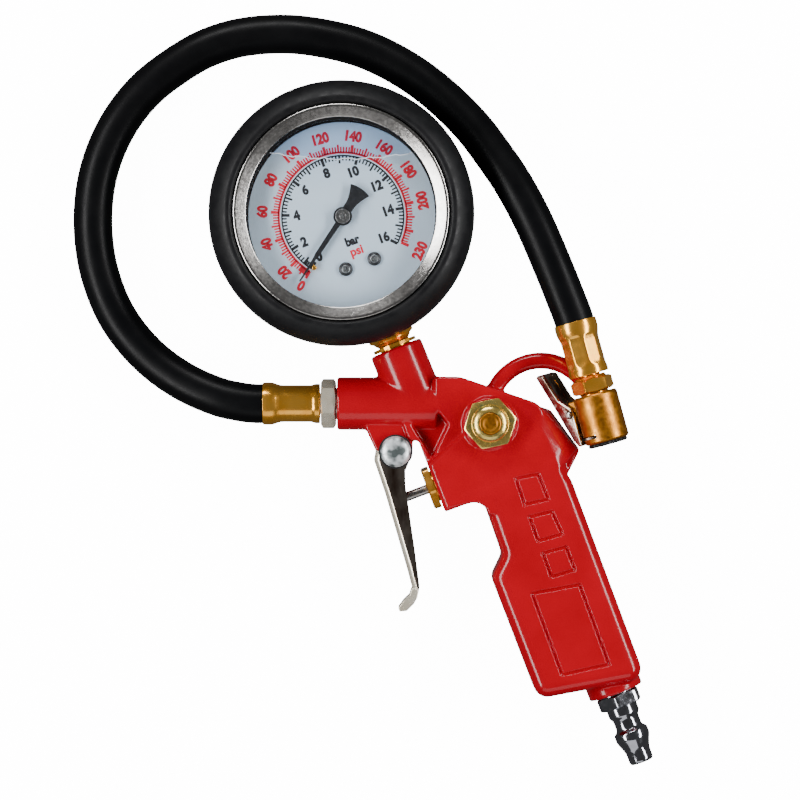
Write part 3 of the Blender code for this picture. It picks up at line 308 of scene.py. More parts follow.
def place(name, mesh, look, body="gun", slot=None, stands_for=(), sharp=32):
    """A finished piece: its material, smooth shading, the body that it rides on and the CAD node it replaces.

    slot is only given where it isn't the one in SLOTS, or steel for a look that isn't there; it is worked out
    but not used.
    """
    slot = slot or SLOTS.get(look, "steel")
    mesh.name = name
    obj = bpy.data.objects.new(name, mesh)
    bpy.context.scene.collection.objects.link(obj)
    mesh.materials.clear()
    mesh.materials.append(LOOKS[look])
    for face in mesh.polygons:
        face.use_smooth = True
    mesh.set_sharp_from_angle(angle=radians(sharp))
    weights = obj.modifiers.new("even_normals", "WEIGHTED_NORMAL")
    weights.keep_sharp = True
    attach(obj, body)
    if stands_for:
        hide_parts(*stands_for)
    return obj


def mesh_from(bm):
    bmesh.ops.recalc_face_normals(bm, faces=bm.faces)
    mesh = bpy.data.meshes.new("piece")
    bm.to_mesh(mesh)
    bm.free()
    return mesh


MOST_OF_SIDE = 0.42  # the share of a side that a corner's arc may take
LEAST_BEND, BEND_STEP = 12, 22  # degrees


def softened(profile, radius, closed):
    """The profile with each corner replaced by a small arc."""
    rounded, count = [], len(profile)
    for i, corner in enumerate(profile):
        here = Vector(corner[:2])
        if not closed and i in (0, count - 1):
            rounded.append(here)
            continue
        before, after = Vector(profile[i - 1][:2]), Vector(profile[(i + 1) % count][:2])
        size = corner[2] if len(corner) > 2 else radius
        to_before, to_after = (before - here), (after - here)
        size = min(size, MOST_OF_SIDE * to_before.length, MOST_OF_SIDE * to_after.length)
        bend = pi - to_before.angle(to_after)
        if size < 0.01 or bend < radians(LEAST_BEND):
            rounded.append(here)
            continue
        a, b = here + to_before.normalized() * size, here + to_after.normalized() * size
        steps = max(2, ceil(degrees(bend) / BEND_STEP))
        for k in range(steps + 1):
            t = k / steps
            rounded.append(a * (1 - t) ** 2 + here * 2 * t * (1 - t) + b * t**2)
    return rounded


def lathe(profile, soft=0.25, steps=96, shape=None, rows=0.0):
    """A solid of revolution about Z. profile is (radius, z) or (radius, z, corner), down its outer side.

    shape(radius, z, angle) may change the radius. rows cuts long stretches into shorter ones.
    """
    closed = profile[0][0] > 0
    line = softened(profile, soft, closed)
    if rows:
        finer = []
        ends = line + line[:1] if closed else line
        for a, b in zip(ends, ends[1:]):
            cuts = max(1, ceil((b - a).length / rows))
            finer += [a.lerp(b, k / cuts) for k in range(cuts)]
        line = finer if closed else finer + [line[-1]]
    bm = bmesh.new()
    rings = []
    for radius, z in line:
        if radius < 1e-6:
            rings.append([bm.verts.new((0, 0, z * MM))])
            continue
        ring = []
        for k in range(steps):
            a = 2 * pi * k / steps
            r = shape(radius, z, a) if shape else radius
            ring.append(bm.verts.new((r * cos(a) * MM, r * sin(a) * MM, z * MM)))
        rings.append(ring)
    pairs = list(zip(rings, rings[1:] + rings[:1])) if closed else list(zip(rings, rings[1:]))
    for upper, lower in pairs:
        for k in range(steps):
            a, b = upper[k % len(upper)], upper[(k + 1) % len(upper)]
            c, d = lower[(k + 1) % len(lower)], lower[k % len(lower)]
            corners = [v for i, v in enumerate((a, b, c, d)) if v not in (a, b, c, d)[:i]]
            if len(corners) > 2:
                bm.faces.new(corners)
    return mesh_from(bm)


CORNER_SHARE = 0.985
STEPS_PER_FLAT = 14


def nut(flats, low, high, turn=0.0, chamfer=(True, True)):
    """A hexagon along Z, whose corners a cone takes off at the ends that chamfer names (low, high)."""
    apothem = flats / 2
    ring_r = apothem * 0.965
    steps = 6 * STEPS_PER_FLAT
    bm = bmesh.new()
    rings = [[] for _ in range(4)]
    for k in range(steps):
        a = 2 * pi * k / steps
        off = (degrees(a) % 60) - 30
        radius = min(apothem / cos(radians(off)), apothem / cos(radians(30)) * CORNER_SHARE)
        drop = (radius - ring_r) * tan(radians(30))
        where = a + radians(turn)
        spots = [
            (ring_r, high) if chamfer[1] else (radius, high),
            (radius, high - drop) if chamfer[1] else (radius, high - 0.02),
            (radius, low + drop) if chamfer[0] else (radius, low + 0.02),
            (ring_r, low) if chamfer[0] else (radius, low),
        ]
        for ring, (r, z) in zip(rings, spots):
            ring.append(bm.verts.new((r * cos(where) * MM, r * sin(where) * MM, z * MM)))
    for upper, lower in zip(rings, rings[1:]):
        for k in range(steps):
            bm.faces.new((upper[k - 1], upper[k], lower[k], lower[k - 1]))
    bm.faces.new(rings[0])
    bm.faces.new(rings[3][::-1])
    return mesh_from(bm)


def cast_slab(corners, low, high, edge, per_arc=9, segments=5):
    """A thick plate whose rim is rounded by edge: rings of the outline, inset towards both faces."""
    count = len(corners)
    area = sum(corners[i - 1][0] * corners[i][1] - corners[i][0] * corners[i - 1][1] for i in range(count))
    if area < 0:
        corners = corners[::-1]
    arcs = []
    for i, (x, y, radius) in enumerate(corners):
        here = Vector((x, y))
        before = (Vector(corners[i - 1][:2]) - here).normalized()
        after = (Vector(corners[(i + 1) % count][:2]) - here).normalized()
        if abs(before.cross(after)) < 0.005 and before.dot(after) < 0:
            continue
        convex = before.cross(after) < 0
        radius = max(radius, edge + 0.1) if convex else max(radius, 0.1)
        half = before.angle(after) / 2
        middle = here + (before + after).normalized() * radius / sin(half)
        first = (here + before * radius / tan(half) - middle).normalized()
        last = (here + after * radius / tan(half) - middle).normalized()
        sweep = first.angle_signed(last)
        rays = [Matrix.Rotation(-sweep * k / (per_arc - 1), 2) @ first for k in range(per_arc)]
        arcs.append((middle, radius, -1 if convex else 1, rays))
    rings = []
    for k in range(segments + 1):
        a = pi / 2 * k / segments
        rings.append((edge * (1 - sin(a)), high - edge * (1 - cos(a))))
    rings += [(inset, low + high - z) for inset, z in rings[::-1]]
    bm = bmesh.new()
    loops = []
    for inset, z in rings:
        loop = []
        for middle, radius, side, rays in arcs:
            for ray in rays:
                x, y = middle + ray * (radius + side * inset)
                loop.append(bm.verts.new((x * MM, y * MM, z * MM)))
        loops.append(loop)
    for upper, lower in zip(loops, loops[1:]):
        for i in range(len(upper)):
            bm.faces.new((upper[i], upper[i - 1], lower[i - 1], lower[i]))
    bm.faces.new(loops[0])
    bm.faces.new(loops[-1][::-1])
    return mesh_from(bm)


def rectangle(left, low, right, high, corner=0):
    return [(left, low, corner), (right, low, corner), (right, high, corner), (left, high, corner)]


def moved(mesh, frame_at):
    mesh.transform(frame_at)
    return mesh


def rod(radius, low, high, frame_at=None, steps=64, soft=0.0):
    mesh = lathe([(0, high), (radius, high), (radius, low), (0, low)], soft, steps)
    return moved(mesh, frame_at) if frame_at else mesh


def joined(meshes):
    """One mesh that holds several shells."""
    bm = bmesh.new()
    for mesh in meshes:
        bm.from_mesh(mesh)
    made = bpy.data.meshes.new("piece")
    bm.to_mesh(made)
    bm.free()
    return made


def evaluated(obj):
    """obj's mesh with its modifiers applied. obj is removed."""
    bpy.context.view_layer.update()
    graph = bpy.context.evaluated_depsgraph_get()
    mesh = bpy.data.meshes.new_from_object(obj.evaluated_get(graph))
    bpy.data.objects.remove(obj)
    return mesh


def helper(mesh):
    obj = bpy.data.objects.new(mesh.name, mesh)
    bpy.context.scene.collection.objects.link(obj)
    return obj


def booleaned(mesh, others, operation):
    obj = helper(mesh)
    tools = [helper(other) for other in others]
    for tool in tools:
        made = obj.modifiers.new("cut", "BOOLEAN")
        made.operation = operation
        made.solver = "EXACT"
        made.object = tool
    result = evaluated(obj)
    for tool in tools:
        bpy.data.objects.remove(tool)
    return result


def without(mesh, *others):
    return booleaned(mesh, others, "DIFFERENCE")


def united(mesh, *others):
    return booleaned(mesh, others, "UNION")


def round_curve(name, points, radius, resolution):
    """A round bar along the points (millimetres), as a curve."""
    curve = bpy.data.curves.new(name, "CURVE")
    curve.dimensions = "3D"
    curve.bevel_depth = radius * MM
    curve.bevel_resolution = resolution
    curve.use_fill_caps = True
    spline = curve.splines.new("POLY")
    spline.points.add(len(points) - 1)
    for spot, where in zip(spline.points, points):
        spot.co = (*point(*where), 1)
    return curve


def swept(points, radius, resolution):
    """A round bar along the points, as a mesh."""
    mesh = evaluated(helper(round_curve("bar", points, radius, resolution)))
    bm = bmesh.new()
    bm.from_mesh(mesh)
    bmesh.ops.remove_doubles(bm, verts=bm.verts, dist=0.002 * MM)
    return mesh_from(bm)


def smooth_curve(route, per_span):
    """A Catmull-Rom curve through the route."""
    ends = [Vector(r) for r in route]
    ends = [2 * ends[0] - ends[1], *ends, 2 * ends[-1] - ends[-2]]
    dense = []
    for a, b, c, d in zip(ends, ends[1:], ends[2:], ends[3:]):
        for k in range(per_span):
            t = k / per_span
            curve = 2 * b + (c - a) * t + (2 * a - 5 * b + 4 * c - d) * t**2
            dense.append((curve + (3 * b - a - 3 * c + d) * t**3) / 2)
    dense.append(ends[-2])
    return dense


LOOKS = make_materials()


# ---------------------------------------------------------------- gun body


def hull(spots):
    """The convex hull of grip places (p, g, half height), mirrored about the tool's middle plane."""
    bm = bmesh.new()
    for p, g, half in spots:
        for z in (AXIS_Z - half, AXIS_Z + half):
            bm.verts.new(point(*grip_point(p, g), z))
    made = bmesh.ops.convex_hull(bm, input=bm.verts)
    inside = [v for v in made["geom_interior"] if isinstance(v, bmesh.types.BMVert)]
    bmesh.ops.delete(bm, geom=inside, context="VERTS")
    return mesh_from(bm)


def ring_bar(centre, radius, wide, tall, start, end, steps=48, around=24):
    """A bar of elliptical section bent round centre from the angle start to end, with closed ends."""
    bm = bmesh.new()
    loops = []
    for k in range(steps + 1):
        a = radians(start + (end - start) * k / steps)
        loop = []
        for j in range(around):
            b = 2 * pi * j / around
            r = radius + wide * cos(b)
            where = point(centre[0] + r * cos(a), centre[1] + r * sin(a), AXIS_Z + tall * sin(b))
            loop.append(bm.verts.new(where))
        loops.append(loop)
    for one, other in zip(loops, loops[1:]):
        for j in range(around):
            bm.faces.new((one[j - 1], one[j], other[j], other[j - 1]))
    bm.faces.new(loops[0])
    bm.faces.new(loops[-1])
    return mesh_from(bm)


VOXEL, QUICK_VOXEL = 0.4, 0.6
SMOOTH_PASSES = 11


def melted(meshes, voxel, passes):
    """The meshes made one skin, with the fillets that a casting has where they meet."""
    obj = helper(joined(meshes))
    skin = obj.modifiers.new("skin", "REMESH")
    skin.mode = "VOXEL"
    skin.voxel_size = voxel * MM
    smooth = obj.modifiers.new("smooth", "SMOOTH")
    smooth.factor, smooth.iterations = 0.5, passes
    return evaluated(obj)


PANEL_SQUARES = [
    [(53.8, -81.7), (61, -80.3), (64.1, -88.3), (56.6, -90)],
    [(58, -93.6), (65.2, -91.9), (68.5, -99.1), (60.8, -101.3)],
    [(62.2, -104.9), (69.6, -102.9), (72.4, -110.2), (64.9, -112.4)],
]
PANEL_LONG = [(58.6, -117.1), (73.8, -114.3), (83.2, -139.8), (68.2, -143.1)]


def edge_distance(spot, corners):
    """How far spot is from the outline of corners."""
    nearest = 1e9
    for (ax, ay), (bx, by) in zip(corners, corners[1:] + corners[:1]):
        along = (spot[0] - ax) * (bx - ax) + (spot[1] - ay) * (by - ay)
        t = min(1, max(0, along / ((bx - ax) ** 2 + (by - ay) ** 2)))
        nearest = min(nearest, hypot(spot[0] - ax - t * (bx - ax), spot[1] - ay - t * (by - ay)))
    return nearest


def shrunk(corners, share):
    cx, cy = sum(c[0] for c in corners) / len(corners), sum(c[1] for c in corners) / len(corners)
    return [(cx + (x - cx) * share, cy + (y - cy) * share) for x, y in corners]


PANEL_INSET = 0.97  # each outline about its own middle
PANEL_SHARE, PANEL_MIDDLE = 0.989, (18, -57.4)  # all of them about one place
GROOVE_WIDE, GROOVE_DEEP = 0.68, 0.7
GRIP_FACE = 11.8  # from the middle plane, past which a point is on the grip's broad sides
FAR = 9.0  # a groove distance that is too far to matter


def engrave(mesh):
    """The shallow grooves that frame the grip's panels, on both sides."""
    mx, my = PANEL_MIDDLE
    frames = [
        [(mx + (x - mx) * PANEL_SHARE, my + (y - my) * PANEL_SHARE) for x, y in shrunk(c, PANEL_INSET)]
        for c in (*PANEL_SQUARES, PANEL_LONG)
    ]
    boxes = [
        (min(c[0] for c in f) - 2, max(c[0] for c in f) + 2, min(c[1] for c in f) - 2,
            max(c[1] for c in f) + 2)
        for f in frames
    ]

    def groove_distance(co):
        """How far a point is from the nearest groove, in half widths of the groove."""
        x, y = co.x / MM, co.y / MM
        for f, (x0, x1, y0, y1) in zip(frames, boxes):
            if x0 < x < x1 and y0 < y < y1:
                off = edge_distance((x, y), f) / GROOVE_WIDE
                if off < 3:
                    return off
        return FAR

    def on_face(co):
        return abs(co.z / MM - AXIS_Z) > GRIP_FACE

    bm = bmesh.new()
    bm.from_mesh(mesh)
    near = [
        e for e in bm.edges
        if on_face(e.verts[0].co) and groove_distance((e.verts[0].co + e.verts[1].co) / 2) < 1.4
    ]
    bmesh.ops.subdivide_edges(bm, edges=near, cuts=1, use_grid_fill=True)
    for v in bm.verts:
        if on_face(v.co):
            off = groove_distance(v.co)
            if off < 1:
                sink = GROOVE_DEEP * (1 - off**2) ** 2 * MM
                v.co.z += sink if v.co.z < AXIS_Z * MM else -sink
    bm.to_mesh(mesh)
    bm.free()
    return mesh


GRIP = [
    (10, 98, 3.4), (9.6, 115.7, 3), (4, 121, 3.6), (4.4, 161.2, 3.6), (37.6, 167, 3.6), (37.6, 97, 6),
    (20, 95, 8),
]
UPPER = [
    (9.2, 57, 0.5), (16.6, 59.8, 6), (37, 76.5, 6), (37, 95, 4), (10, 95, 0.5), (-1.6, 86, 0.5),
    (-1.6, 81.6, 0.4), (8, 72.3, 0.4), (6, 66, 0.5),
]
WEB = [
    (-5, 62, 0), (16, 60.5, 0), (39.4, 79.3, 2), (43.6, 94, 1.5), (36, 101, 2), (6, 93, 0), (-2.3, 84, 0),
    (-2.3, 73.6, 1), (-5, 73, 0),
]
NOSE_FILLET = [
    (4.6, 94, 0.1), (13, 94, 0.1), (13, 103, 0.1), (10, 103, 0.1), (10, 97.3, 4.5), (4.6, 97.3, 0.1),
]
POCKET_RIM = [
    (-5, 64, 0.3), (-3.6, 64, 0.3), (-0.2, 80.4, 0.3), (-2.3, 82.5, 0.3), (-2.3, 74, 0.3), (-5, 72.6, 0.3),
]
LUG = [
    (-16.4, 63.5, 0), (-3, 63.5, 0), (-4.2, 74, 2), (-6.2, 79.2, 3.5), (-14, 79.2, 3.5), (-15.8, 72, 1.5),
]
SHOULDER = [
    (-2.3, 81.6, 9.6), (-2.3, 97.2, 11.4), (-1, 82.4, 10.7), (-1, 96, 12.6), (9.8, 97.2, 12.9),
    (14, 81.6, 10.5), (28, 70.5, 8.4), (36.4, 77.4, 7.6), (35, 94, 12.5), (35.2, 97.2, 12.6),
    (38.8, 95.6, 10), (40.8, 89, 7.4), (42.8, 93.4, 4.8), (38.9, 80, 4.6), (38, 91.5, 10.6),
    (34.4, 84, 10.6), (38, 84.5, 8.4), (32.6, 90, 11.9),
]
APRON = [
    (12.4, 95, 12.8), (13, 98.4, 12.9), (15.6, 103.6, 12.99), (33.2, 103.6, 12.99), (35.4, 101.4, 12.4),
    (37.3, 99.4, 10.2), (37.3, 95, 10.2), (34.6, 94, 12.6),
]


def make_casting():
    middle = AXIS_Z
    shells = [
        cast_slab(grip_outline(UPPER), middle - 8.3, middle + 8.3, 0.9),
        cast_slab(grip_outline(NOSE_FILLET), middle - 12.7, middle + 12.7, 0.5, segments=2),
        cast_slab(grip_outline(POCKET_RIM), middle - 6, middle + 6, 0.4, segments=2),
        cast_slab(grip_outline(GRIP), 0, 26, 4.2),
        cast_slab(grip_outline(WEB), middle - 3, middle + 3, 0.6, per_arc=5, segments=2),
        cast_slab(grip_outline(LUG), middle - 4.95, middle + 4.95, 0.7, per_arc=5, segments=2),
        hull(SHOULDER),
        hull(APRON),
        ring_bar((61.7, -61.1), 15.9, 2.6, 2.2, 20, 159),
        rod(8.2, 0, 31, BARREL, soft=0.5),
        rod(8.35, 44.4, 64, STEM, soft=0.9),
        rod(8.6, 150, 168.4, INLET, soft=0.5),
        rod(8.2, 12, 24.9, DEFLATE, soft=0.9),
    ]
    skin = melted(shells, VOXEL, SMOOTH_PASSES)
    outlet = frame_along((*grip_point(8, 0), AXIS_Z), (*GRIP_DOWN, 0))
    bores = [
        rod(5.2, 40, 54.5, STEM), rod(1.6, 54, 63, STEM), rod(5.2, -2, 14, BARREL),
        rod(5.2, -6, 26, VALVE), rod(3, 88.9, 160, INLET), rod(6, 156, 172, INLET),
        rod(5.2, 10.5, 30, DEFLATE), rod(1.5, 60, 86, outlet), rod(2.2, -20, 20, PIVOT),
    ]
    skin = engrave(without(skin, united(*bores)))
    place("gun_casting", skin, "red", stands_for=["gun_body"], sharp=50)


# ---------------------------------------------------------------- gauge


def make_gauge_shell():
    boot = [
        (33.1, 25.4), (34.1, 25.8), (34.1, 31.9), (33.45, 32.2, 0.1), (33.45, 33.5, 0.2), (34, 34.3, 0.5),
        (35.3, 34.5, 0.6), (37.4, 33.2, 1.5), (39.6, 30.8, 1.5), (40.7, 27.4, 1.5), (40.9, 24, 2),
        (40.3, 14, 4), (39.8, 6, 2), (38.5, 2, 1.2), (36, 0, 1), (0.4, 0, 0), (0.4, 2.5, 0),
        (33.1, 2.5, 0.5),
    ]
    made = lathe(boot, 0.4, 160, rows=2.5)
    made = without(made, rod(8.4, 30, 46, STEM))
    place("boot", made, "rubber", stands_for=["gauge_boot"])
    bezel = [
        (33.2, 31.8, 0.1), (33.9, 31.6, 0.1), (33.9, 26), (33.3, 26), (33.3, 31.2), (32, 32.4),
        (29.2, 32.3, 0.1), (29, 32.4, 0.1), (29.2, 32.6, 0.15), (32.3, 34, 0.4), (32.9, 33.9, 0.3),
        (33.25, 33.4, 0.3),
    ]
    place("bezel", lathe(bezel, 0.2, 192), "bezel", stands_for=["bezel_ring"])
    # A black ring set 0.6 mm off-centre just under the bezel's inner edge: painted shadow, the dark crescent
    # that the bezel casts across the top of the dial.
    crescent_profile = [(29.9, 31), (28.75, 31, 0.2), (28.75, 30.35, 0.2), (29.9, 30.35)]
    place("shadow_crescent", moved(lathe(crescent_profile, 0.1, 160), at(0, -0.6)), "rubber")
    pane = [(0, 32.3), (32.8, 32.3), (32.8, 31.05), (0, 31.05)]
    place("window", lathe(pane, 0.15, 128), "glass", stands_for=["gauge_window"])


def make_liquid():
    """The gauge's filling, seen as an air space at the top and the thin wavy line that bounds it."""
    reach, half, level, sag = 28.3, 21.8, 18.2, 1.9
    line = []
    for k in range(61):
        x = -half + 2 * half * k / 60
        y = level - sag * (1 - (x / half) ** 2) + 0.22 * sin(x * 0.9) + 0.12 * sin(x * 2.3 + 1)
        line.append((x, y))
    rim = []
    first, last = atan2(line[-1][1], line[-1][0]), atan2(line[0][1], line[0][0])
    for k in range(41):
        a = first + (last - first) * k / 40
        rim.append((reach * cos(a), reach * sin(a)))
    bm = bmesh.new()
    add_prism(bm, line[1:-1] + rim, 29.3, 29.55)
    place("air_space", mesh_from(bm), "air")
    # The line along the liquid's edge is a thin near-white wire: painted highlight, the bright glint of the
    # liquid's surface.
    places = [(x, y, 29.9) for x, y in line]
    place("meniscus_highlight", swept(places, 0.16, 3), "meniscus_highlight")


BLACK_ARC, RED_ARC = (18.45, 18.9), (19.3, 19.95)  # radii
SCALE_START = -149.0  # clockwise from the dial's up
BAR_END, PSI_END = 16, 230
BAR_PER_PSI = 0.0689476
BAR_TEXT_R, PSI_TEXT_R, PSI_END_TEXT_R = 14.2, 24.8, 25.8
SCREW_X, SCREW_Y = 4.65, -15.5
POINTER_ZERO = 236.5  # degrees from +X, at rest


def bar_angle(bar):
    """The scale's angle for a pressure, clockwise from the dial's up."""
    return -140.2 + 17.1 * (bar - 1) if bar >= 1 else SCALE_START + 8.8 * bar


def dial_spot(radius, angle):
    """The place at radius and angle, clockwise from up, less the tilt that DIAL adds."""
    a = radians(90 - angle - DIAL_TILT)
    return radius * cos(a), radius * sin(a)


PRINT_LOW, PRINT_HIGH = 26, 26.035


def add_prism(bm, outline, low=PRINT_LOW, high=PRINT_HIGH):
    top = [bm.verts.new(point(x, y, high)) for x, y in outline]
    base = [bm.verts.new(point(x, y, low)) for x, y in outline]
    bm.faces.new(top)
    bm.faces.new(base[::-1])
    for i in range(len(outline)):
        bm.faces.new((top[i - 1], top[i], base[i], base[i - 1]))


def add_tick(bm, angle, inner, outer, wide):
    ux, uy = dial_spot(1, angle)
    sx, sy = -uy * wide / 2, ux * wide / 2
    add_prism(bm, [
        (ux * inner - sx, uy * inner - sy), (ux * outer - sx, uy * outer - sy),
        (ux * outer + sx, uy * outer + sy), (ux * inner + sx, uy * inner + sy),
    ])


def add_arc(bm, inner, outer, first, last, step=1.5):
    count = max(2, ceil((last - first) / step))
    angles = [first + (last - first) * k / count for k in range(count + 1)]
    for one, other in zip(angles, angles[1:]):
        add_prism(bm, [dial_spot(inner, one), dial_spot(outer, one), dial_spot(outer, other),
            dial_spot(inner, other)])


def lettering(text, tall, spot, turn, narrow=0.92, bold=0.058):
    """Printed characters tall millimetres high, centred on spot in the dial's own frame."""
    curve = bpy.data.curves.new("text", "FONT")
    curve.body = text
    curve.size = 1.0
    curve.align_x = "CENTER"
    curve.offset = bold
    curve.resolution_u = 4
    flat = evaluated(helper(curve))
    bm = bmesh.new()
    bm.from_mesh(flat)
    bmesh.ops.remove_doubles(bm, verts=bm.verts, dist=1e-5)
    high = max(v.co.y for v in bm.verts)
    low = min(v.co.y for v in bm.verts)
    wide = (max(v.co.x for v in bm.verts) + min(v.co.x for v in bm.verts)) / 2
    size = tall / (high - low)
    for v in bm.verts:
        v.co = ((v.co.x - wide) * size * narrow, (v.co.y - (high + low) / 2) * size, 0)
    lifted = bmesh.ops.extrude_face_region(bm, geom=bm.faces[:])
    for v in lifted["geom"]:
        if isinstance(v, bmesh.types.BMVert):
            v.co.z = PRINT_HIGH - PRINT_LOW
    turned = Matrix.Rotation(radians(turn), 4, "Z")
    bm.transform(Matrix.Scale(MM, 4) @ Matrix.Translation((*spot, PRINT_LOW)) @ turned)
    return mesh_from(bm)


def make_dial():
    black, red = bmesh.new(), bmesh.new()
    add_arc(black, *BLACK_ARC, SCALE_START, 116)
    for k in range(5 * BAR_END + 1):
        bar = 0.2 * k
        whole, even = k % 5 == 0, k % 10 == 0
        add_tick(black, bar_angle(bar), 16.3 if whole else 17.2, 18.7,
            0.9 if even else 0.6 if whole else 0.48)
    add_arc(red, *RED_ARC, SCALE_START, 113.5)
    for psi in range(0, PSI_END + 1, 2):
        ten, twenty = psi % 10 == 0, psi % 20 == 0 or psi == PSI_END
        add_tick(red, bar_angle(psi * BAR_PER_PSI), 19.6, 22.1 if ten else 21.4,
            0.9 if twenty else 0.6 if ten else 0.48)
    blacks, reds = [], []
    for bar in range(0, BAR_END + 1, 2):
        blacks.append(lettering(str(bar), 3.25, dial_spot(BAR_TEXT_R, bar_angle(bar)), 0))
    for psi in (*range(0, 201, 20), PSI_END):
        angle = bar_angle(psi * BAR_PER_PSI)
        flip = 180 if psi >= 200 else 0
        spot = dial_spot(PSI_END_TEXT_R if psi == PSI_END else PSI_TEXT_R, angle)
        reds.append(lettering(str(psi), 3.5, spot, -angle - DIAL_TILT + flip, 0.86))
    blacks.append(lettering("bar", 2.9, (0.25, -7.9), 0, 0.9, 0.055))
    reds.append(lettering("psi", 3.6, (0.4, -11.7), 0, 0.98, 0.035))
    for name, bm, texts in (("print_black", black, blacks), ("print_red", red, reds)):
        marks = mesh_from(bm)
        place(name, moved(joined([marks, *texts]), DIAL), name)
    plate = lathe([(1.7, 26), (29, 26, 0.1), (29, 25.5, 0.1), (1.7, 25.5)], 0.05, 160)
    place("dial_face", moved(plate, DIAL), "white", stands_for=["dial_plate"])
    for side, x in (("left", -SCREW_X), ("right", SCREW_X)):
        head = [(0, 27.3), (1.2, 27.2, 0.3), (2.1, 26.75, 0.3), (2.15, 26.25), (0.8, 26.2), (0.8, 19),
            (0, 19)]
        screw = lathe(head, 0.12, 48)
        name = f"dial_screw_{side}_head"
        place(name, moved(screw, DIAL @ at(x, SCREW_Y)), "black", slot="steel",
            stands_for=["dial_screw_" + side])
        recess = lathe([(0, 27.5), (1.2, 27.42, 0.1), (1.3, 27.15), (0, 27.15)], 0.05, 40)
        for turn in (35, 125):
            slot = cast_slab(rectangle(-1, -0.2, 1, 0.2), 27.3, 28, 0.02)
            recess = without(recess, moved(slot, Matrix.Rotation(radians(turn), 4, "Z")))
        place(f"dial_screw_{side}_recess", moved(recess, DIAL @ at(x, SCREW_Y)), "steel")
    stop = radians(POINTER_ZERO + 4.6)
    pin = lathe([(0, 28.2), (0.62, 28.1, 0.2), (0.75, 27.8, 0.1), (0.75, 26.05), (0.6, 25), (0, 25)], 0.1, 32)
    where = at(POINTER_AXIS[0] + 18.0 * cos(stop), POINTER_AXIS[1] + 18.0 * sin(stop))
    place("zero_stop", moved(pin, where), "brass", stands_for=["zero_stop_pin"])


def make_pointer():
    blade = [
        (1, 0.86, 0.1), (14.2, 0.72, 0.2), (15.4, 0.55, 0.4), (23.9, 0.2, 0.05), (23.9, -0.2, 0.05),
        (15.4, -0.55, 0.4), (14.2, -0.72, 0.2), (1, -0.86, 0.1),
    ]
    fan = [(-10.2 * cos(radians(a)), 10.2 * sin(radians(a)), 0.1) for a in range(-20, 21, 5)]
    waist = [(1.5, 1.7), (-2.4, 1.55), (-4, 1.5), (-5.6, 1.75), (-7.4, 2.35), (-9, 3.1)]
    tail = [(x, -y, 0.2) for x, y in waist] + fan + [(x, y, 0.2) for x, y in waist[::-1]]
    low, high = 27.2, 27.7
    shape = united(
        cast_slab(tail, low, high, 0.1, per_arc=3, segments=2),
        cast_slab(blade, low + 0.01, high - 0.01, 0.03, per_arc=3, segments=1),
        rod(2.9, low + 0.02, high + 0.12, soft=0.15),
    )
    shape = without(shape, rod(1.5, low - 1, high + 1))
    where = at(*POINTER_AXIS) @ Matrix.Rotation(radians(POINTER_ZERO), 4, "Z")
    place("pointer_blade", moved(shape, where), "black", body="pointer", stands_for=["pointer"])
    hub = [
        (0, 28.75, 0), (0.9, 28.75, 0.1), (1, 28.4, 0.1), (2.2, 28.5, 0.2), (2.35, 28, 0.1), (1.2, 27.9),
        (1.2, 26.9), (0, 26.9),
    ]
    place("pointer_cap", moved(lathe(hub, 0.08, 48), at(*POINTER_AXIS)), "dark", body="pointer",
          stands_for=["pointer_hub"])


def make_stem():
    """The wrench hexagon and neck between the boot and the gun."""
    block = rectangle(-4.2, -6.6, 4.2, 6.6, 0.4)
    meshes = [
        moved(cast_slab(block, 10.5, 31.2, 0.3, per_arc=3, segments=1), STEM),
        moved(nut(12.6, 30.8, 41.4, 30), STEM),
        moved(lathe([(0, 53), (4.2, 53), (4.85, 52.2), (4.85, 42.9), (6, 41.6), (6, 41), (0, 41)],
                    0.2, 64), STEM),
    ]
    for x in (-SCREW_X, SCREW_X):
        meshes.append(rod(1.7, 12, 25.2, DIAL @ at(x, SCREW_Y), 24))
    place("gauge_stem", united(*meshes), "brass", stands_for=["gauge_socket"])


make_casting()
make_gauge_shell()
make_liquid()
make_dial()
make_pointer()
make_stem()


# ---------------------------------------------------------------- valves and inlet


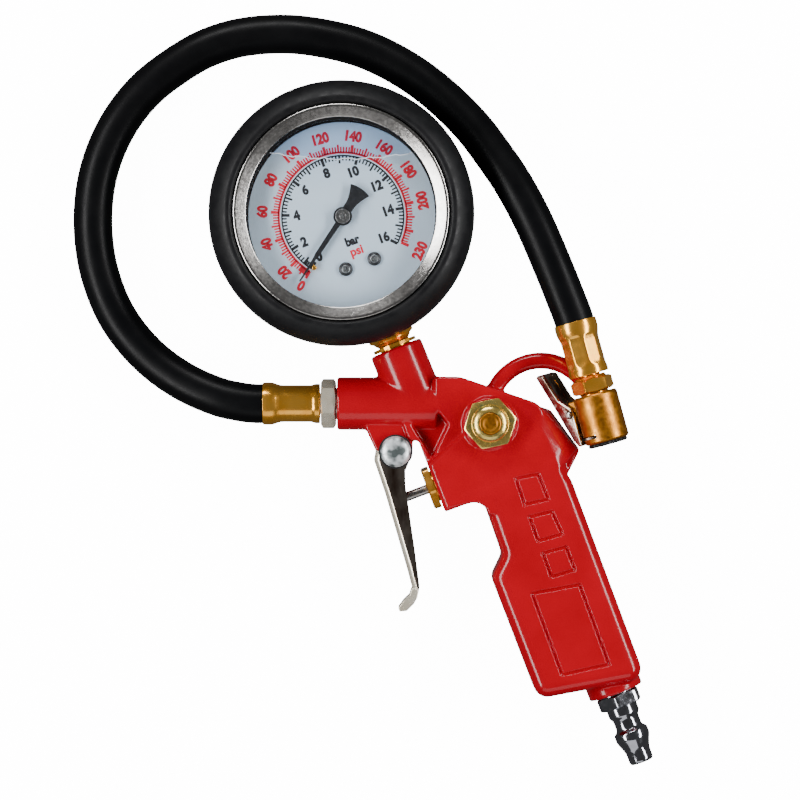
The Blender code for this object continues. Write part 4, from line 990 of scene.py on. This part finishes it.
def make_valves():
    head = nut(12.6, -5, -2.6, 8, chamfer=(True, False))
    shank = rod(4.85, -2.8, 6, soft=0.2)
    gland = without(united(head, shank), rod(1.7, -8, 9))
    place("gland_nut", moved(gland, VALVE), "brass", stands_for=["valve_gland_nut"])
    rod_tip = -10.1 - 6.7
    profile = [(0, 9.6), (1.5, 9.6), (1.5, rod_tip + 0.7, 0.3), (0.8, rod_tip, 0.2), (0, rod_tip)]
    place("push_rod_turned", moved(lathe(profile, 0.1, 48), VALVE), "steel", body="valve_rod",
          stands_for=["push_rod"])

    low = 25.5
    hexagon = nut(14.3, low, low + 3.3, 12)
    collar = [
        (0, low + 5.35), (3.6, low + 5.35, 0.2), (4.6, low + 5, 0.8), (5.6, low + 4.2, 0.8),
        (5.95, low + 2.9), (0, low + 2.9),
    ]
    body = united(hexagon, lathe(collar, 0.3, 96), rod(4.85, 14, low + 0.5))
    body = without(body, rod(1.6, 12, 40), rod(3.5, low - 0.5, 40, soft=0))
    place("deflate_hexagon", moved(body, DEFLATE), "plated", stands_for=["deflate_valve_body"])
    top = low + 5.5
    button = [
        (0, top - 0.35), (1.7, top - 0.3, 0.3), (2.5, top, 0.4), (3.2, top - 0.08, 0.2),
        (3.42, top - 0.4, 0.1), (3.42, low + 2.2), (1.3, low + 2.2), (1.3, 13), (0, 13),
    ]
    place("deflate_cap", moved(lathe(button, 0.15, 64), DEFLATE), "brass_milled", body="deflate_button",
          stands_for=["deflate_button"])

    start = 168.7
    nose = [
        (0, 191.4), (3.4, 191.4, 0.3), (3.85, 190.6, 0.3), (3.85, 187.4, 1), (5, 184.4, 1),
        (5.4, 183.4, 0.4), (5.4, 181.2, 0.4), (4.1, 180, 0.6), (4.1, 176.8, 0.6), (4.9, 175.6, 0.3),
        (4.9, 172.4), (0, 172.4),
    ]
    plug = united(
        nut(12.5, start, start + 4.2, 10), lathe(nose, 0.2, 96), rod(5.7, 158, start + 0.5)
    )
    plug = without(plug, rod(2.3, 150, 200))
    place("plug", moved(plug, INLET), "chrome", stands_for=["inlet_plug"])


# ---------------------------------------------------------------- trigger


def make_trigger():
    half, wall = 6.3, 1.0
    web = [
        (-6.1, 1, 1), (-6.7, -2.6, 1), (-3.2, -13, 8), (3.5, -36, 6), (5.5, -43.6, 1.5), (4.6, -45.4, 0.6),
    ]
    rim = [(7, -44.2, 0.3), (7.4, -41.6, 1), (5.9, -30, 6), (3.1, -11, 4), (3, -6, 1)]
    ears = [(5.1 * cos(radians(a)), 5.1 * sin(radians(a)), 0.3) for a in range(-24, 190, 12)]
    shell = without(
        cast_slab([*web, (20, -52, 3), (20, 8, 3), (-6.1, 8, 3)], -half, half, 2.3, 7, 6),
        cast_slab([(x + 1, y + 0.2, r) for x, y, r in web] + [(24, -56, 1), (24, 12, 1), (-5.1, 12, 1)],
                  -half + wall, half - wall, 1.4, 7, 4),
    )
    sides = cast_slab([*[(x - 0.6, y, 0.3) for x, y, r in web], *rim, *ears], -half - 1, half + 1, 0.05, 5, 1)
    shell = booleaned(shell, [sides], "INTERSECT")
    shell = without(shell, rod(2.3, -20, 20))
    # The front bend and the spoon are cut off as their own piece in the lighter nickel look: painted
    # highlight where the bend catches the light; the cheeks keep the darker stamped look.
    seam = [(x + 1.5, y, 0.3) for x, y, r in web]
    highlight_zone = cast_slab([(-20, 8, 0.3), (-20, -52, 0.3), *seam[::-1]], -half - 1, half + 1, 0.05, 5, 1)
    spoon = [
        (4.9, -42.2, 0.3), (4.3, -44.2, 1), (2.5, -45.9, 1.2), (0.8, -48.2, 0.6), (1.2, -49.4, 0.4),
        (3.5, -49.2, 0.8), (5.7, -47, 1.2), (6.8, -45, 1.2), (7.2, -42.2, 0.3),
    ]
    bend = united(booleaned(shell, [highlight_zone], "INTERSECT"), cast_slab(spoon, -half + 0.3, half - 0.3, 0.4, 6, 3))
    place("trigger_bend_highlight", moved(bend, PIVOT), "nickel_and_bend_highlight", body="trigger", slot="chrome", stands_for=["trigger"])
    place("trigger_cheeks", moved(without(shell, highlight_zone), PIVOT), "stamped", body="trigger")
    high, low = half, -half
    pin = [
        (0, high + 2.3), (2.4, high + 2.05, 1), (4.1, high + 1.3, 0.8), (4.8, high + 0.5, 0.2),
        (4.75, high + 0.2, 0.1), (1.95, high + 0.2), (1.95, low - 1), (1.5, low - 1), (1.5, low - 1.9),
        (1.95, low - 1.9), (1.95, low - 2.5), (0, low - 2.5),
    ]
    # A thin black ring under the rivet's head, a little wider than it: painted shade round the head's edge.
    shade_ring = lathe([(4.3, high + 0.18), (5.25, high + 0.18), (5.25, high + 0.02), (4.3, high + 0.02)], 0.02,
        96)
    place("rivet_shade_ring", moved(shade_ring, PIVOT), "black")
    place("trigger_rivet", moved(lathe(pin, 0.12, 96), PIVOT), "zinc", stands_for=["trigger_pin"])


# ---------------------------------------------------------------- hose ends and chuck


def crimp_shape(length, flats=8, first=3.6, last=2.6):
    """The flats that crimping dies press round a ferrule, between first and last from its ends."""

    def shape(radius, z, angle):
        if radius < 5.5 or not first < z < length - last:
            return radius
        off = (degrees(angle) % (360 / flats)) - 180 / flats
        flat = 5.62 / cos(radians(off))
        ends = min(z - first, length - last - z)
        ease = min(1, ends / 1.6) ** 0.5
        return min(radius, flat + (1 - ease) * 0.5)

    return shape


def ferrule(length, shift=0, crimped=True):
    """A hose's brass sleeve, with crimped flats or with a plain waist."""
    waist = 5.95 if crimped else 5.72
    profile = [
        (6.1, length, 0.3), (6.2, length - 1.4, 0.5), (waist, length - 2.5, 0.8), (waist, 4.4, 1.5),
        (6.6, 2.2, 0.8), (6.62, 0.2, 0.3), (6.5, -0.9, 0.12), (6.18, -0.9, 0.1), (6.18, 0.1), (5.2, 0.1),
        (5.2, length - 1.6), (3.9, length - 1.6), (3.9, length),
    ]
    made = lathe(profile, 0.15, 192, shape=crimp_shape(length) if crimped else None, rows=0.35)
    return moved(made, at(0, 0, shift)) if shift else made


def barbs(top, count, neck):
    """The profile of the rings that hold a hose's end, from top down."""
    tops = [top - 3.4 * k for k in range(count)]
    return [spot for z in tops for spot in ((neck, z), (3.65, z - 0.3), (3.1, z - 2.8))]


def make_barrel_end():
    start = frame_along((BARREL_START - 5.3 - 16.8, BARREL_Y, AXIS_Z), (1, 0, 0))
    place("hose_ferrule", moved(ferrule(16.8, crimped=False), start), "brass",
          stands_for=["barrel_ferrule"], sharp=40)
    barb = [(0, -4.5), (3.2, -4.5), *barbs(-7.4, 4, 3.2), (2.8, -21), (0, -21)]
    adapter = united(
        nut(13.6, -5, -0.3, 22), lathe(barb, 0.1, 48), rod(4.85, -0.8, 11.5)
    )
    adapter = without(adapter, rod(2.2, -30, 20))
    place("adapter", moved(adapter, BARREL), "nickel_and_bend_highlight", stands_for=["hose_adapter"])


def profile_plate(corners, half, edge, segments=3):
    """A plate drawn as (out from the chuck's axis, along it), half as thick as given on both sides."""
    flat = frame_along((0, 0, 0), (0, 1, 0), (1, 0, 0)) @ Matrix.Scale(-1, 4, (0, 1, 0))
    mesh = moved(cast_slab(corners, -half, half, edge, per_arc=6, segments=segments), CHUCK @ flat)
    mesh.flip_normals()
    return mesh


def make_chuck():
    pieces = []
    pieces.append(place("chuck_sleeve", moved(ferrule(16, 0.3), CHUCK), "brass",
                        stands_for=["chuck_ferrule"], sharp=40))
    tail = [(0, 24.6), (4.4, 24.6), (4.4, 22), (5.2, 21.2, 0.3), (5.2, 18), (4.6, 16.7), (3.2, 16.7)]
    tail += [*barbs(14.4, 3, 3.1), (2.8, 3), (0, 3)]
    nipple = united(nut(11.6, 17.5, 21.7, 15), lathe(tail, 0.1, 64))
    nipple = without(nipple, rod(2, 0, 30))
    pieces.append(place("chuck_nipple", moved(nipple, CHUCK), "brass", stands_for=["chuck_tail"]))

    start, end = 22.3, 37.4
    profile = [(0, end), (6.3, end, 0.2), (6.9, end - 0.6, 0.2), (6.9, start + 0.6, 0.3), (6.4, start, 0.2),
        (0, start)]
    barrel = lathe(profile, 0.2, 128)
    lug = [(3, 23.1, 0.3), (10.2, 23.1, 2), (10.2, 30.2, 2), (3, 30.2, 0.3)]
    barrel = united(moved(barrel, CHUCK), profile_plate(lug, 2.3, 0.2))
    box = rectangle(2.5, 34.1, 9, 36.5, 0.05)
    flat = [(5.7, 30.9, 0.6), (10, 30.9, 0.1), (10, 45, 0.1), (5.7, 45, 0.1)]
    saw = rectangle(-9, -8, -3.2, 8)
    flank = frame_along(CHUCK_START, (*CHUCK_DOWN, 0), (*CHUCK_ACROSS, 0))
    barrel = without(
        barrel, moved(cast_slab(saw, 34.6, 35.6, 0.02, segments=1), flank),
        moved(rod(4.25, 27.6, 45), CHUCK), moved(rod(4.75, 15, 24.9), CHUCK),
        moved(rod(1.5, 20, 30), CHUCK), profile_plate(box, 5.2, 0.03, segments=1),
        profile_plate(flat, 8, 0.05, segments=1), moved(rod(1.3, -6, 6), LEVER_PIN),
    )
    pieces.append(place("chuck_barrel", barrel, "brass_milled", stands_for=["chuck_body"]))

    def ruffled(radius, z, angle):
        return radius - 0.35 * (1 + sin(11 * angle)) * (radius > 5)

    rim = [(4.4, 37.45), (6.1, 37.45), (6.2, 38.2, 0.2), (5.4, 38.6, 0.3), (4.4, 38.1, 0.1)]
    mouth = lathe(rim, 0.1, 120, shape=ruffled)
    pieces.append(place("chuck_rim", moved(mouth, CHUCK), "rubber"))

    half, wall = 4, 0.8
    outer = [
        (14.4, 13, 0.6), (16.4, 12.4, 0.8), (17.2, 13, 0.6), (13.8, 22.4, 4), (9.8, 34.6, 2), (8.4, 37, 1),
        (6.9, 37, 0.6), (7.2, 25.4, 2.5), (11.2, 21.6, 1.8),
    ]
    hollow = [
        (13.4, 12, 0.2), (16.5, 12, 0.2), (13, 22.2, 4), (9, 34.4, 0.5), (8.6, 35, 0.2), (5, 35, 0.1),
        (5, 20, 0.1),
    ]
    slip = [(5, 35.9, 0.05), (8.2, 35.9, 0.05), (7.4, 40, 0.05), (5, 40, 0.05)]
    tooth = [(3.4, 34.9, 0.1), (3.8, 35.7, 0.1), (8, 35.7, 0.1), (8, 34.9, 0.1)]
    lever = without(
        profile_plate(outer, half, 0.45),
        profile_plate(hollow, half - wall, 0.15, segments=2),
        profile_plate(slip, half - wall, 0.03, segments=1),
    )
    lever = united(lever, profile_plate(tooth, 2.2, 0.08, segments=1))
    lever = without(lever, moved(rod(1.3, -8, 8), LEVER_PIN))
    place("clip_lever", lever, "stamped", body="chuck_lever", stands_for=["chuck_lever"])
    pin = [(0, 5), (0.7, 5, 0.2), (1.05, 4.6, 0.1), (1.05, -4.6, 0.1), (0.7, -5, 0.2), (0, -5)]
    pieces.append(place("clip_pin", moved(lathe(pin, 0.1, 32), LEVER_PIN), "steel",
                        stands_for=["chuck_lever_pin"]))
    return pieces


HOSE_ROUTE = [
    (-24.1, -58.5, 13), (-27, -58.5, 13), (-32, -57.9, 12.7), (-39, -56.2, 11.8), (-48.6, -52, 9.9),
    (-57.8, -45.8, 8), (-65.7, -37.8, 6.7), (-71.6, -28.7, 6.2), (-75.7, -17.7, 6.2), (-77.5, -7.2, 6.2),
    (-77.6, 3.1, 6.2), (-76.1, 13.1, 6.2), (-72.8, 22.7, 6.2), (-67.7, 31.8, 6.2), (-60.9, 39.8, 6.2),
    (-52.5, 46.4, 6.2), (-42.8, 52.1, 6.2), (-31.7, 55.6, 6.2), (-18.7, 56.7, 6.2), (-6.7, 55.5, 6.3),
    (6.2, 52.2, 6.8), (18.2, 46.4, 7.9), (29.2, 38.5, 9.8), (39.6, 28.3, 12.5), (47.2, 18.2, 15.3),
    (53.2, 9, 17.7), (59.2, -2.5, 20), (65.3, -16.8, 22), (69.2, -26.6, 22.5), (70.6, -30.1, 22.5),
    (71.8, -33.6, 22.5),
]
HOSE_R = 6.1


def make_hose(pieces):
    points = smooth_curve(HOSE_ROUTE, 10)
    curve = round_curve("hose_line", points, HOSE_R, 10)
    curve.splines[0].use_smooth = True
    line = helper(curve)
    curve.materials.append(LOOKS["hose"])
    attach(line, "gun")
    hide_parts("hose")


make_valves()
make_trigger()
make_barrel_end()
make_hose(make_chuck())


# ---------------------------------------------------------------- what the CAD keeps

KEPT_LOOKS = {
    "steel": [
        "gauge_case", "pinion_shaft", "valve_spring", "deflate_spring", "trigger_pin_clip", "chuck_spring",
    ],
    "rubber": [
        "fill_plug", "window_gasket", "gland_o_ring", "deflate_seal", "chuck_seal",
    ],
    "brass": [
        "stem_seal_washer", "bourdon_tube", "tube_tip", "movement_link", "movement_back_plate",
        "movement_front_plate", "movement_pillar_1", "movement_pillar_2", "sector_gear", "hairspring",
        "valve_poppet", "inlet_filter_ring", "chuck_core_pin",
    ],
}


def dress_cad():
    for look, names in KEPT_LOOKS.items():
        for name in names:
            for slot in bpy.data.objects[name].material_slots:
                slot.link = "OBJECT"
                slot.material = LOOKS[look]


# ---------------------------------------------------------------- the studio


FLOOR_GLOW = 14.0
SKY_STRENGTH = 0.08
LIT_SPOT = Vector((0.018, -0.057, 0.013))


def make_studio():
    floor_shade = Shade("studio_floor", (0.86, 0.86, 0.86), 0.55)
    floor_shade.colours((0.84, 0.84, 0.84), 300)
    floor_shade.set(Emission_Color=(1, 1, 1, 1), Emission_Strength=FLOOR_GLOW)
    bpy.ops.mesh.primitive_plane_add(size=4, location=(0, 0, -0.0005))
    floor = bpy.context.object
    floor.name = "floor"
    floor.data.materials.append(floor_shade.material)
    floor.visible_glossy = floor.visible_diffuse = False

    world = bpy.data.worlds.new("studio")
    bpy.context.scene.world = world
    world.use_nodes = True
    world.node_tree.nodes["Background"].inputs["Color"].default_value = (1, 1, 1, 1)
    world.node_tree.nodes["Background"].inputs["Strength"].default_value = SKY_STRENGTH

    for name, where, wide, tall, power in (
        ("left_strip", (-0.62, -0.10, 0.55), 0.9, 0.2, 9.0),
        ("right_strip", (0.72, 0.02, 0.50), 0.9, 0.16, 8.5),
        ("top_soft", (-0.15, 0.85, 0.45), 0.5, 0.2, 5.0),
        ("near_soft", (0.0, -0.90, 0.55), 1.0, 0.5, 1.8),
    ):
        data = bpy.data.lights.new(name, "AREA")
        data.shape = "RECTANGLE"
        data.size, data.size_y = wide, tall
        data.energy = power
        lamp = bpy.data.objects.new(name, data)
        lamp.location = where
        aim = LIT_SPOT - Vector(where)
        lamp.rotation_euler = aim.to_track_quat("-Z", "Y").to_euler()
        bpy.context.scene.collection.objects.link(lamp)

    data = bpy.data.cameras.new("camera")
    data.lens, data.sensor_width = 174, 36
    camera = bpy.data.objects.new("camera", data)
    camera.location = (0.018, -0.0574, 1.212)
    bpy.context.scene.collection.objects.link(camera)
    bpy.context.scene.camera = camera


dress_cad()
make_studio()
bpy.context.view_layer.update()
